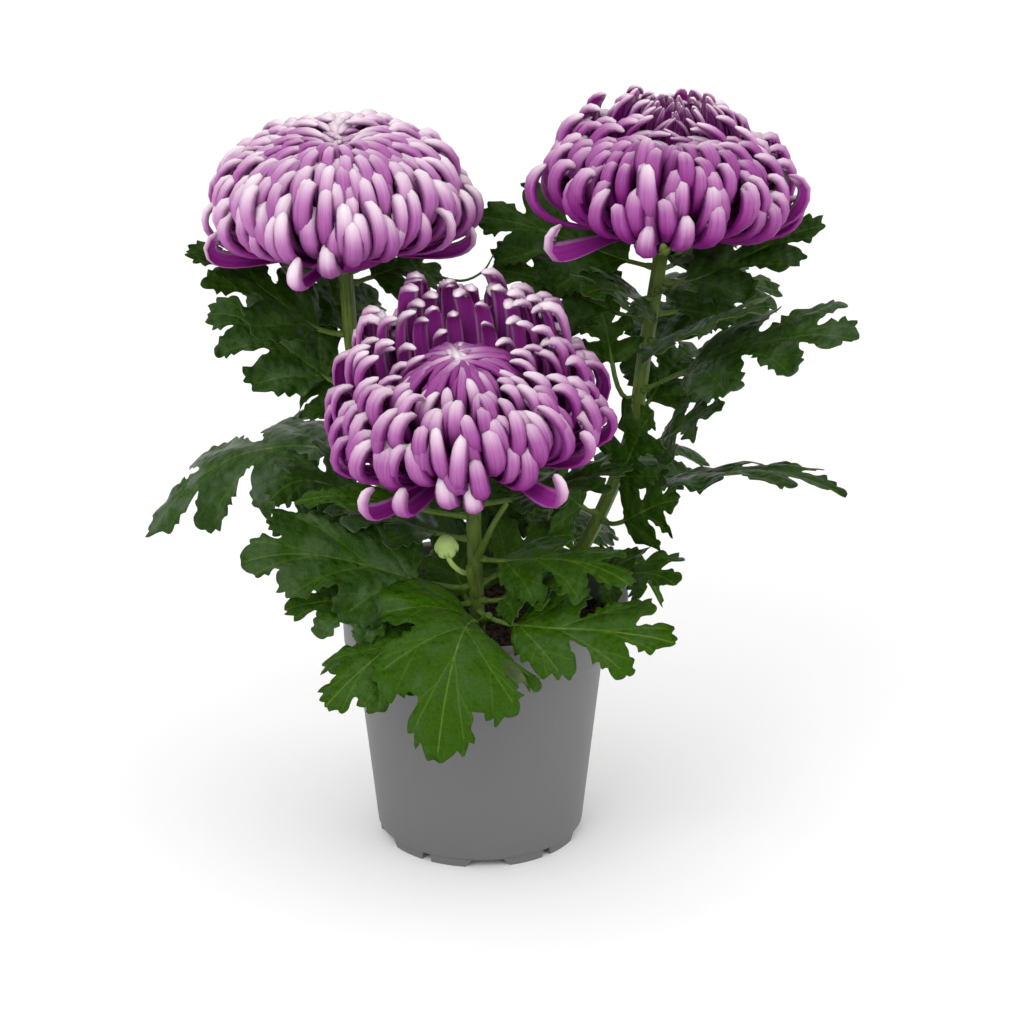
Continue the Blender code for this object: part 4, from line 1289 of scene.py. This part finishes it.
def leaf_stalk(surface):
    """The petiole, which goes on under the blade as its raised midrib."""
    stations = [d - surface.petiole for d in STALK_FOOT]
    if surface.petiole > STALK_MIDDLE + 1:
        stations += [(STALK_MIDDLE - surface.petiole) * (1 - k / 3) for k in range(3)]
    stations += [0.0, *(surface.length * s for s in STALK_BLADE)]
    first, heading, side, normal = surface.at(-surface.petiole)
    radius = PETIOLE_RADIUS * STALK_ROOT_RADIUS
    rings = [(first - heading * STALK_ROOT, side, normal, radius)]
    for a in stations:
        point, _, side, normal = surface.at(a)
        flare = STALK_FLARE * (1 - smoothstep((a + surface.petiole) / STALK_FLARE_LENGTH))
        radius = PETIOLE_RADIUS * (1 + flare)
        if a > 0:
            radius *= 1 - STALK_TAPER * a / surface.length
        sink = radius * smoothstep((a + STALK_SINK_LENGTH / 2) / STALK_SINK_LENGTH)
        rings.append((point - normal * sink * STALK_SINK, side, normal, radius))
    points = []
    for centre, side, normal, radius in rings:
        for j in range(STALK_SIDES):
            angle = 2 * math.pi * j / STALK_SIDES
            points.append(centre + radius * (math.cos(angle) * side + math.sin(angle) * normal))
    faces = []
    last = len(points) - STALK_SIDES
    for low in range(0, last, STALK_SIDES):
        high = low + STALK_SIDES
        for j in range(STALK_SIDES):
            n = (j + 1) % STALK_SIDES
            faces.append((low + j, low + n, high + n, high + j))
    faces.append(tuple(range(STALK_SIDES))[::-1])
    faces.append(tuple(range(last, last + STALK_SIDES)))
    return points, faces


def blade_lift(a, b, apart, phases, width, leaves):
    """How far a point of the blade is raised: quilting away from the veins, waves at the margin
    and a slight ripple."""
    shift = WAVE_SHIFT if b > 0 else 0
    reach = abs(b) / (width / 2)
    wave = math.sin(a * WAVE_RATE + phases[0] + shift) * reach**2 * leaves.waves / MM
    along, both, across = RIPPLE_RATES
    ripple = math.sin(a * along + b * both + phases[1]) * math.sin(b * across + phases[2])
    puff = leaves.quilting / MM * (1 - math.exp(-((apart / PUFF_REACH) ** 2)))
    return puff + wave + RIPPLE * ripple


def add_leaf(name, stem, row, leaves, look):
    """One lobed, toothed and veined leaf with its petiole, in place of its solid."""
    surface = LeafSurface(name, stem, row)
    edge = leaf_outline(name, surface.length, surface.width, leaves)
    lines = vein_lines(surface.length, surface.width)
    flat, faces = leaf_net(edge, lines, surface.length, surface.width, f"fill {name}")
    _, main, strength = vein_distance(flat, lines)
    glow = np.exp(-((main / VEIN_GLOW) ** 2))
    source = random.Random(f"waves {name}")
    phases = [source.uniform(0, 2 * math.pi) for _ in range(4)]
    half = leaves.thickness / MM / 2
    lifts = [blade_lift(*p, d, phases, surface.width, leaves) for p, d in zip(flat, main)]
    points = [surface.place(*p, lift + half) for p, lift in zip(flat, lifts)]
    points += [surface.place(*p, lift - half) for p, lift in zip(flat, lifts)]
    under = len(flat)
    solid = [tuple(f) for f in faces] + [tuple(v + under for v in reversed(f)) for f in faces]
    rim = {(v, w) for face in faces for v, w in zip(face, face[1:] + face[:1])}
    for v, w in sorted(rim):
        if (w, v) not in rim:
            solid.append((w, v, v + under, w + under))
    stalk_points, stalk_faces = leaf_stalk(surface)
    base = len(points)
    points += stalk_points
    solid += [tuple(v + base for v in face) for face in stalk_faces]
    tone = LEAF_TONES.get(name, USUAL_TONE)
    tone += source.uniform(-LEAF_TONE_SPREAD, LEAF_TONE_SPREAD)
    tone = min(1.0, max(0.0, tone))
    stalks = len(stalk_points)
    marks = {
        "vein": [*strength, *strength, *([1.0] * stalks)],
        "top": [1.0] * under + [0.0] * under + [0.5] * stalks,
        "tone": [tone] * len(points),
        "middle": [*glow, *glow, *([1.0] * stalks)],
        "sheen": [LEAF_SHEENS.get(name, USUAL_SHEEN)] * len(points),
    }
    mesh_piece(f"blade_{name}", points, solid, look, [f"leaf_{name}"], marks)


def leaf_material(leaves):
    """Dark green above, brighter along the veins, with a patchy gloss and a painted greyish sheen, and
    paler beneath.
    """
    look, graph, shader = new_material("leaf", 0.42, 0.06)
    place = object_place(graph)
    tone = mark(graph, "tone")
    vein = mark(graph, "vein")
    sheen = mark(graph, "sheen")
    mottle = graph.ramp(noise(graph, place, 75.0, 4.0), 0.35, 0.68)
    fine = noise(graph, place, 900.0, 2.0)
    cells = graph.add("ShaderNodeTexVoronoi", {"feature": "SMOOTH_F1"}, place, Scale=260.0)

    # Above: brighter along the main veins, with greyish patches of painted sheen, dark flecks and pale
    # veins.
    bright = smaller(tone * 0.9 + mark(graph, "middle") * 0.32 + mottle * 0.3 - 0.1, 1.0)
    upper = graph.blend(bright, leaves.dark_colour, leaves.bright_colour)
    # Painted sheen: a greyish reflection painted into the colour in patches.
    upper = graph.blend((0.2 + mottle * 0.8) * sheen * 0.8, upper, leaves.painted_sheen_colour)
    upper = graph.blend(graph.ramp(fine, 0.4, 0.7) * 0.25, upper, leaves.dark_colour)
    upper = graph.blend(vein * (0.15 + tone * 0.4), upper, leaves.vein_colour)

    # Beneath: pale, with its veins. The real gloss above comes in the same patches as the painted grey
    # sheen.
    under = graph.blend(vein * 0.5, leaves.under_colour, leaves.vein_colour)
    colour = graph.blend(mark(graph, "top"), under, upper)
    graph.plug(shader.inputs["Base Color"], colour)
    graph.plug(shader.inputs["Roughness"], 0.3 + mottle * 0.2)
    graph.plug(shader.inputs["Coat Weight"], (0.03 + sheen * 0.4) * graph.ramp(mottle, 0.2, 0.9))
    shader.inputs["Coat Roughness"].default_value = 0.3
    add_bump(graph, shader, cells * -1.0 + fine * 0.2, 0.0026, 0.8)
    return look


# Pot and soil


def turned(profile, sides, bottom=None):
    """Points and faces of a closed profile of (radius, height) turned round +Z. A profile may
    start and end on the axis. bottom gives the height of points at 0 for each angle."""
    points = []
    rings = []
    for radius, height in profile:
        if radius == 0:
            rings.append([len(points)] * len(sides))
            points.append((0.0, 0.0, height))
            continue
        rings.append(list(range(len(points), len(points) + len(sides))))
        for angle in sides:
            level = bottom(angle) if bottom and height == 0 else height
            points.append((radius * math.cos(angle), radius * math.sin(angle), level))
    faces = []
    for low, high in zip(rings, rings[1:]):
        for k in range(len(sides)):
            n = (k + 1) % len(sides)
            corners = (low[k], low[n], high[n], high[k])
            face = [c for i, c in enumerate(corners) if c != corners[i - 1]]
            if len(face) > 2:
                faces.append(face)
    return points, faces


def pot_inner_radius(height):
    """Radius of the inside of the tapered body."""
    share = (height - FOOT_HEIGHT) / (COLLAR_LOW - FOOT_HEIGHT)
    return BODY_LOW_RADIUS + share * (BODY_TOP_RADIUS - BODY_LOW_RADIUS) - POT_WALL


def rounded_corner(before, corner, after, size, steps=3):
    """A corner of the profile, rounded to about this size."""
    before, corner, after = Vector(before), Vector(corner), Vector(after)
    start = corner + (before - corner).normalized() * size
    end = corner + (after - corner).normalized() * size
    arc = []
    for k in range(steps + 1):
        t = k / steps
        arc.append(tuple((1 - t) ** 2 * start + 2 * t * (1 - t) * corner + t * t * end))
    return arc


def pot_profile():
    """The pot's closed section, from the underside's middle round the outside and back in. Each
    point has the size of its rounding."""
    floor_top = FOOT_HEIGHT + POT_WALL
    step = COLLAR_LOW + POT_WALL
    corners = (
        (0.0, FOOT_HEIGHT, 0),
        (FOOT_RADIUS - FOOT_WALL, FOOT_HEIGHT, 0),
        (FOOT_RADIUS - FOOT_WALL, 0.0, 0),
        (FOOT_RADIUS, 0.0, 0),
        (FOOT_RADIUS + FOOT_FLARE, FOOT_HEIGHT, 0),
        (BODY_LOW_RADIUS, FOOT_HEIGHT + FOOT_STEP, 0.3),
        (BODY_TOP_RADIUS, COLLAR_LOW, 0.8),
        (COLLAR_RADIUS, COLLAR_LOW + COLLAR_STEP, 0.8),
        (COLLAR_TOP_RADIUS, POT_HEIGHT - LIP_THICK, 0.8),
        (LIP_RADIUS, POT_HEIGHT - LIP_THICK, 0.7),
        (LIP_RADIUS, POT_HEIGHT, 0.9),
        (COLLAR_TOP_RADIUS - POT_WALL, POT_HEIGHT, 1.2),
        (COLLAR_RADIUS - POT_WALL, step + COLLAR_STEP, 0.8),
        (pot_inner_radius(step), step, 0.6),
        (pot_inner_radius(floor_top), floor_top, 1.0),
        (0.0, floor_top, 0),
    )
    profile = []
    for k, (radius, height, size) in enumerate(corners):
        if size:
            before, after = corners[k - 1][:2], corners[k + 1][:2]
            profile += rounded_corner(before, (radius, height), after, size)
        else:
            profile.append((radius, height))
    return profile


def notch_level(angle):
    """How high the foot ring's lower edge is at an angle: notches rise from it."""
    for turn, (low, high) in NOTCHES:
        half = NOTCH_STEP / 2
        off = (math.degrees(angle) + 90 - turn + half) % NOTCH_STEP - half
        reach = (low / 2 - abs(off)) / ((low - high) / 2)
        if reach > 0:
            return NOTCH_HEIGHT * min(1.0, reach)
    return 0.0


def pot_angles():
    """Even angles, with more at the edges of the notches so that they come out sharp."""
    angles = {round(360 * k / POT_SIDES, 3) for k in range(POT_SIDES)}
    for first in range(-90, 270, NOTCH_STEP):
        for turn, widths in NOTCHES:
            for width in widths:
                angles |= {round((turn + first + half * width) % 360, 3) for half in (-0.5, 0.5)}
    spaced = []
    for angle in sorted(angles):
        if not spaced or angle - spaced[-1] > 0.05:
            spaced.append(angle)
    return [math.radians(angle) for angle in spaced]


def drain_cutter():
    """The rods that cut the pot's drain holes."""
    work = bmesh.new()
    centres = [(0.0, 0.0)]
    for turn in range(DRAIN_TURN, 360, DRAIN_STEP):
        angle = math.radians(turn)
        centres.append((DRAIN_RING * math.cos(angle), DRAIN_RING * math.sin(angle)))
    radius = DRAIN_RADIUS * MM
    size = {"radius1": radius, "radius2": radius, "depth": DRAIN_CUT * MM}
    for x, y in centres:
        place = Matrix.Translation((x * MM, y * MM, (FOOT_HEIGHT + 1) * MM))
        bmesh.ops.create_cone(work, cap_ends=True, segments=32, matrix=place, **size)
    mesh = bpy.data.meshes.new("drain_cutter")
    work.to_mesh(mesh)
    work.free()
    return new_object("drain_cutter", mesh)


def pot_material(pot):
    """Grey plastic with faint clouds and a fine grain."""
    look, graph, shader = new_material("pot", pot.roughness, 0.3)
    place = object_place(graph)
    cloud = noise(graph, place, 30.0, 3.0)
    fine = noise(graph, place, 1400.0, 2.0)
    colour = graph.blend(cloud * 0.4, pot.colour, pot.worn_colour)
    graph.plug(shader.inputs["Base Color"], colour)
    add_bump(graph, shader, fine, 0.0002, 0.25)
    return look


def soil_height(radius, angle):
    """The soil's surface: a low mound with a few hollows."""
    share = radius / COLLAR_RADIUS
    hollow = SOIL_HOLLOW * math.sin(3 * angle + 1.0) * share
    return SOIL_TOP + SOIL_MOUND * (1 - share**2) + hollow


def soil_growth():
    """Strews crumbs over the part of a body of soil that is marked as open."""
    growth = Growth("Soil crumbs")
    body = growth.value("Geometry", "Geometry")
    density = growth.value("Crumbs per square metre", "Float", 60000.0)
    size = growth.value("Crumb size", "Float", 1.6 * MM)
    seed = growth.value("Seed", "Int", CRUMB_SEED)
    look = growth.value("Material", "Material")
    spread = "GeometryNodeDistributePointsOnFaces"
    points = growth.add(spread, {}, body, growth.named("open"), Density=density, Seed=seed)
    crumb = growth.add("GeometryNodeMeshIcoSphere", {}, 1.0, 1)
    place = growth.add("GeometryNodeInputPosition")
    rough = growth.add("ShaderNodeTexNoise", {}, place, Scale=1.3).other("Color") - 0.5
    crumb = growth.add("GeometryNodeSetPosition", {}, crumb, None, None, rough)
    kind = "FunctionNodeRandomValue"
    vectors = {"data_type": "FLOAT_VECTOR"}
    turn = growth.add(kind, vectors, *CRUMB_TURN, Seed=3)
    shape = growth.add(kind, vectors, *CRUMB_STRETCH, Seed=4) * size
    put = "GeometryNodeInstanceOnPoints"
    crumbs = growth.add(put, {}, points, Instance=crumb, Rotation=turn, Scale=shape)
    growth.finish(growth.join(crumbs, body), look)
    return growth


def soil_body():
    """The body of soil inside the pot, with its top marked as open."""
    to_floor, to_wall, to_shelf, to_collar = SOIL_GAPS
    step_low, step_high = SOIL_STEP
    floor = FOOT_HEIGHT + POT_WALL + to_floor
    step = COLLAR_LOW + POT_WALL
    outer = COLLAR_RADIUS - POT_WALL - to_collar
    profile = [
        (0.0, floor),
        (pot_inner_radius(floor) - to_wall, floor),
        (pot_inner_radius(step) - to_shelf, step + step_low),
        (outer, step + step_high),
    ]
    profile += [(outer * (1 - k / SOIL_RINGS), SOIL_TOP) for k in range(SOIL_RINGS)]
    profile.append((0.0, SOIL_TOP))
    angles = [2 * math.pi * k / SOIL_SIDES for k in range(SOIL_SIDES)]
    points, faces = turned(profile, angles)
    source = random.Random("soil")
    shaped = []
    for x, y, z in points:
        if z == SOIL_TOP:
            z = soil_height(math.hypot(x, y), math.atan2(y, x))
            z += source.uniform(-SOIL_ROUGH, SOIL_ROUGH)
        shaped.append((x * MM, y * MM, z * MM))
    mesh = bpy.data.meshes.new("soil_body")
    mesh.from_pydata(shaped, [], faces)
    point_outwards(mesh)
    mark_points(mesh, "open", [1.0 if p[2] > (SOIL_TOP - 1) * MM else 0.0 for p in shaped])
    return mesh


def soil_material(soil):
    """Dark moist soil with drier specks."""
    look, graph, shader = new_material("soil", 0.92, 0.2)
    place = object_place(graph)
    patch = graph.ramp(noise(graph, place, 220.0, 4.0), 0.35, 0.68)
    graph.plug(shader.inputs["Base Color"], graph.blend(patch, soil.colour, soil.light_colour))
    add_bump(graph, shader, noise(graph, place, 900.0, 3.0), 0.001, 0.8)
    return look


# Settings that a user may change


def colour_setting(name, description, value):
    """A colour that a user may change."""
    return FloatVectorProperty(
        name=name, description=description, default=value, subtype="COLOR", size=3, min=0.0, max=1.0
    )


def number_setting(name, description, value, low=0.0, **more):
    """A number that a user may change."""
    return FloatProperty(name=name, description=description, default=value, min=low, **more)


def share_setting(name, description, value, low=0.0, high=1.0):
    """A share that a user may change."""
    return number_setting(name, description, value, low, max=high, subtype="FACTOR")


def length_setting(name, description, millimetres):
    """A length that a user may change."""
    return number_setting(name, description, millimetres * MM, unit="LENGTH", precision=4)


def count_setting(name, description, value):
    """A number of petals that a user may change."""
    return IntProperty(name=name, description=description, default=value, min=40, max=400)


class BloomSettings(bpy.types.PropertyGroup):
    """Sizes and colours of the petals"""

    petals_left: count_setting("Left petals", "Petals in the left bloom", 260)
    petals_right: count_setting("Right petals", "Petals in the right bloom", 225)
    petals_front: count_setting("Front petals", "Petals in the front bloom", 265)
    width: share_setting("Petal width", "Share of the usual width", 1.0, 0.5, 1.5)
    curl: number_setting("Curl", "The arc across a petal's width", 2.4, 0.1, unit="ROTATION")
    thickness: length_setting("Petal thickness", "At the middle of a petal", 1.1)
    hook: length_setting("Hooked tip", "Length of the tip that hooks in", 11.0)
    back_colour: colour_setting("Back", "The pale back of a petal", srgb(190, 124, 183))
    # Also a painted highlight: the pale middle of the tip and the inner rim.
    tip_and_painted_highlight_colour: colour_setting("Tip", "The tip of a petal's back", srgb(250, 234, 240))
    # Also the painted shade along a petal's sides.
    base_and_painted_shade_colour: colour_setting("Base", "The foot of a petal and its streaks", srgb(130, 24, 122))
    inner_colour: colour_setting("Inside", "The hollow side of a petal", srgb(166, 56, 160))
    # Partly painted shade: the hollow side in the shade near a petal's foot.
    deep_and_painted_shade_colour: colour_setting("Deep inside", "The hollow side near a petal's foot", srgb(110, 14, 108))


class LeafSettings(bpy.types.PropertyGroup):
    """Sizes and colours of the leaves"""

    thickness: length_setting("Blade thickness", "Of a leaf's blade", 0.36)
    tooth_pitch: length_setting("Tooth pitch", "From one tooth of the edge to the next", 7.4)
    tooth_height: length_setting("Tooth height", "How far a tooth stands out", 3.0)
    quilting: length_setting("Quilting", "How far the blade swells between veins", 1.7)
    waves: length_setting("Waves", "How far the margin waves", 1.6)
    dark_colour: colour_setting("Dark green", "The usual upper face", srgb(15, 40, 0))
    bright_colour: colour_setting("Bright green", "The upper face of the lower leaves", srgb(48, 84, 0))
    # The greyish patches are a painted sheen, a reflection painted into the colour.
    painted_sheen_colour: colour_setting("Sheen", "Greyish patches on the upper face", srgb(66, 84, 58))
    vein_colour: colour_setting("Veins", "Veins and stalks", srgb(106, 134, 48))
    under_colour: colour_setting("Underside", "The lower face", srgb(96, 112, 72))


class StemSettings(bpy.types.PropertyGroup):
    """Ribs and greens of the stems and the bud"""

    rib_height: share_setting("Ribs", "Height of the ribs, a share of the radius", 0.06, 0.0, 0.3)
    colour: colour_setting("Green", "Main green of a stem", srgb(92, 114, 36))
    shade_colour: colour_setting("Shade", "Darker green of a stem", srgb(52, 72, 22))
    bud_colour: colour_setting("Bud", "The foot of a bud's bracts", srgb(66, 94, 28))
    bud_tip_colour: colour_setting("Bud tips", "The tips of a bud's bracts", srgb(150, 170, 92))


class PotSettings(bpy.types.PropertyGroup):
    """The pot's plastic"""

    roughness: share_setting("Roughness", "Of the pot's plastic", 0.5)
    colour: colour_setting("Grey", "The pot's plastic", srgb(103, 103, 104))
    worn_colour: colour_setting("Light grey", "Its lighter clouds", srgb(110, 110, 111))


class SoilSettings(bpy.types.PropertyGroup):
    """The soil and its crumbs"""

    crumbs: number_setting("Crumbs", "Crumbs to a square metre", 60000.0)
    crumb_size: length_setting("Crumb size", "Radius of a usual crumb", 1.6)
    colour: colour_setting("Dark brown", "Moist soil", srgb(30, 24, 20))
    light_colour: colour_setting("Brown", "Drier specks", srgb(62, 48, 36))


class StageSettings(bpy.types.PropertyGroup):
    """The camera's lens, the lights and the floor"""

    focal: number_setting("Focal length", "Of the camera", 105.2, 20.0, unit="CAMERA")
    sky: number_setting("Sky", "Strength of the even light", 1.0)
    key: number_setting("Key light", "Power of the large soft lamp", 13.0, unit="POWER")
    fill: number_setting("Fill light", "Power of the side lamp", 6.0, unit="POWER")
    floor_colour: colour_setting("Floor", "The plain floor", (0.98, 0.98, 0.98))


# Operators


class AddPot(bpy.types.Operator):
    """Makes the nursery pot with its notched foot and drain holes"""

    bl_idname = "chrysanthemum.add_pot"
    bl_label = "Pot"

    def execute(self, context):
        look = pot_material(context.scene.chrysanthemum_pot)
        points, faces = turned(pot_profile(), pot_angles(), notch_level)
        pot = loose_piece("nursery_pot", points, faces, look)
        cutter = drain_cutter()
        modifier = pot.modifiers.new("drains", "BOOLEAN")
        modifier.operation = "DIFFERENCE"
        modifier.solver = "EXACT"
        modifier.object = cutter
        mesh = settle(pot)
        bpy.data.objects.remove(cutter, do_unlink=True)
        mesh.shade_smooth()
        mesh.set_sharp_from_angle(angle=math.radians(POT_SHARP))
        add_piece(pot, ["pot"])
        return {"FINISHED"}


class AddSoil(bpy.types.Operator):
    """Makes the potting soil with crumbs strewn on it"""

    bl_idname = "chrysanthemum.add_soil"
    bl_label = "Soil"

    def execute(self, context):
        soil = context.scene.chrysanthemum_soil
        values = {
            "Crumbs per square metre": soil.crumbs,
            "Crumb size": soil.crumb_size,
            "Seed": CRUMB_SEED,
            "Material": soil_material(soil),
        }
        soil_growth().grow("potting_soil", soil_body(), values, "soil", ["soil"])
        return {"FINISHED"}


class AddStems(bpy.types.Operator):
    """Makes the three ribbed stems, and the small shoots and cut ends on them"""

    bl_idname = "chrysanthemum.add_stems"
    bl_label = "Stems"

    def execute(self, context):
        stems = context.scene.chrysanthemum_stems
        growth = stem_growth()
        green = stem_material(stems)
        looks = {"stem": green, "leaf": bpy.data.materials.get("leaf") or green}
        ribs = {**STEM_RIBS, "Rib height": stems.rib_height, "Material": green}
        for name, plant in STEMS.items():
            path = stem_path(plant, 8)
            radii = [STEM_RADIUS] * len(path)
            for height, radius in CUP:
                path.append(Vector(plant["bloom"]) + leaning(plant["lean"]) * height)
                radii.append(radius)
            growth.grow(f"ribbed_{name}", line_mesh(path, radii), ribs, "stem", [f"stem_{name}"])
        for name, slot, knots in SHOOTS:
            path = smooth_path([knot[:3] for knot in knots], 4)
            radii = [knot[3] for knot in knots]
            at = np.linspace(0, 1, len(path))
            spread = np.interp(at, np.linspace(0, 1, len(radii)), radii)
            ribs = {**SHOOT_RIBS, "Material": looks[slot]}
            growth.grow(name, line_mesh(path, list(spread)), ribs, slot)
        return {"FINISHED"}


class AddBlooms(bpy.types.Operator):
    """Makes the three blooms, and the green bracts under each"""

    bl_idname = "chrysanthemum.add_blooms"
    bl_label = "Blooms"

    def execute(self, context):
        blooms = context.scene.chrysanthemum_blooms
        growth = petal_growth()
        petal = petal_material(blooms)
        green = bud_material(context.scene.chrysanthemum_stems)
        petals = (blooms.curl, blooms.thickness, blooms.hook)
        bracts = petal_inputs(green, CALYX_HEART, **CALYX_BRACTS)
        for name, plant in STEMS.items():
            values = petal_inputs(petal, HEARTS[name], PETAL_RINGS, *petals)
            values["Width"] = blooms.width
            place = frame_at(plant["bloom"], leaning(PETAL_LEANS[name]))
            rows = bloom_rows(name, getattr(blooms, f"petals_{name}"))
            nodes = [f"bloom_{name}"]
            growth.grow(f"petals_{name}", seed_mesh(rows), values, "petal", nodes, place)
            rows = bract_rows(CALYX_RINGS, f"calyx {name}")
            place = frame_at(plant["bloom"], leaning(plant["lean"]))
            growth.grow(f"calyx_{name}", seed_mesh(rows), bracts, "bud", (), place)
        return {"FINISHED"}


class AddBud(bpy.types.Operator):
    """Makes the green side bud on its stalk"""

    bl_idname = "chrysanthemum.add_bud"
    bl_label = "Side bud"

    def execute(self, context):
        stems = context.scene.chrysanthemum_stems
        green = bpy.data.materials.get("bud") or bud_material(stems)
        centre, along_stem = stem_at(STEMS["front"], BUD_STEM_HEIGHT)
        place = Vector(BUD_PLACE)
        heading = square_to(along_stem, place - centre)
        axis = Vector(BUD_AXIS).normalized()
        first, out = centre + heading * BUD_STALK_FROM, centre + heading * BUD_STALK_OUT
        below = place - Vector((0, 0, BUD_STALK_RISE))
        curve = (first, out, below, place - axis * BUD_STALK_END)
        path = [cubic_at(curve, k / 10)[0] for k in range(11)]
        line = line_mesh(path, [BUD_STALK_RADIUS] * len(path))
        stem_growth().grow("bud_stalk", line, {**SHOOT_RIBS, "Material": green}, "bud")
        values = petal_inputs(green, BUD_HEART, **BUD_BRACTS)
        bud = seed_mesh(bract_rows(BUD_RINGS, "bud"))
        petal_growth().grow("green_bud", bud, values, "bud", ["side_bud"], frame_at(place, axis))
        return {"FINISHED"}


class AddLeaves(bpy.types.Operator):
    """Makes every leaf with its stalk"""

    bl_idname = "chrysanthemum.add_leaves"
    bl_label = "Leaves"

    def execute(self, context):
        leaves = context.scene.chrysanthemum_leaves
        look = leaf_material(leaves)
        for stem, rows in LEAVES.items():
            for number, *row in rows:
                add_leaf(f"{stem}_{number:02d}", stem, row, leaves, look)
        return {"FINISHED"}


class AddStage(bpy.types.Operator):
    """Makes the floor, the lights and the camera"""

    bl_idname = "chrysanthemum.add_stage"
    bl_label = "Stage"

    def execute(self, context):
        stage = context.scene.chrysanthemum_stage
        scene = context.scene
        mesh = bpy.data.meshes.new("floor")
        signs = ((-1, -1), (1, -1), (1, 1), (-1, 1))
        corners = [(x * FLOOR_HALF, y * FLOOR_HALF, 0) for x, y in signs]
        mesh.from_pydata(corners, [], [(0, 1, 2, 3)])
        look, _, shader = new_material("floor", 0.9)
        shader.inputs["Base Color"].default_value = (*stage.floor_colour, 1.0)
        mesh.materials.append(look)
        new_object("floor", mesh)

        world = bpy.data.worlds.new("studio")
        world.use_nodes = True
        light = world.node_tree.nodes["Background"]
        light.inputs["Color"].default_value = (1.0, 1.0, 1.0, 1.0)
        light.inputs["Strength"].default_value = stage.sky
        scene.world = world
        for name, power, width, place in LAMPS:
            lamp = bpy.data.lights.new(name, "AREA")
            lamp.energy = getattr(stage, power)
            lamp.size = width
            holder = new_object(name, lamp)
            holder.location = place
            aim = Vector(LAMP_AIM) - Vector(place)
            holder.rotation_euler = aim.to_track_quat("-Z", "Y").to_euler()

        lens = bpy.data.cameras.new("camera")
        lens.lens = stage.focal
        lens.sensor_width = SENSOR
        camera = new_object("camera", lens)
        camera.location = CAMERA_PLACE
        camera.rotation_euler = (math.radians(90 - CAMERA_PITCH), 0, 0)
        scene.camera = camera
        scene.view_settings.view_transform = "Standard"
        return {"FINISHED"}


SETTINGS = (
    ("chrysanthemum_blooms", BloomSettings),
    ("chrysanthemum_leaves", LeafSettings),
    ("chrysanthemum_stems", StemSettings),
    ("chrysanthemum_pot", PotSettings),
    ("chrysanthemum_soil", SoilSettings),
    ("chrysanthemum_stage", StageSettings),
)
OPERATORS = (AddPot, AddSoil, AddLeaves, AddStems, AddBlooms, AddBud, AddStage)


class ChrysanthemumPanel(bpy.types.Panel):
    """The plant's operators and settings"""

    bl_idname = "VIEW3D_PT_chrysanthemum"
    bl_label = "Pot Chrysanthemum"
    bl_space_type = "VIEW_3D"
    bl_region_type = "UI"
    bl_category = "Chrysanthemum"

    def draw(self, context):
        column = self.layout.column()
        for operator in OPERATORS:
            column.operator(operator.bl_idname)
        for key, group in SETTINGS:
            box = self.layout.box()
            box.label(text=key.split("_")[1].title())
            for setting in group.__annotations__:
                box.prop(getattr(context.scene, key), setting)


def register():
    """Makes the settings, operators and panel known to Blender."""
    for key, group in SETTINGS:
        bpy.utils.register_class(group)
        setattr(bpy.types.Scene, key, PointerProperty(type=group))
    for known in (*OPERATORS, ChrysanthemumPanel):
        bpy.utils.register_class(known)


def unregister():
    """Takes them away again."""
    for known in (ChrysanthemumPanel, *reversed(OPERATORS)):
        bpy.utils.unregister_class(known)
    for key, group in reversed(SETTINGS):
        delattr(bpy.types.Scene, key)
        bpy.utils.unregister_class(group)


def main():
    """Makes the whole plant and its stage."""
    register()
    for operator in (
        bpy.ops.chrysanthemum.add_pot,
        bpy.ops.chrysanthemum.add_soil,
        bpy.ops.chrysanthemum.add_leaves,
        bpy.ops.chrysanthemum.add_stems,
        bpy.ops.chrysanthemum.add_blooms,
        bpy.ops.chrysanthemum.add_bud,
        bpy.ops.chrysanthemum.add_stage,
    ):
        operator()
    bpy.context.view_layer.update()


if __name__ == "__main__":
    main()
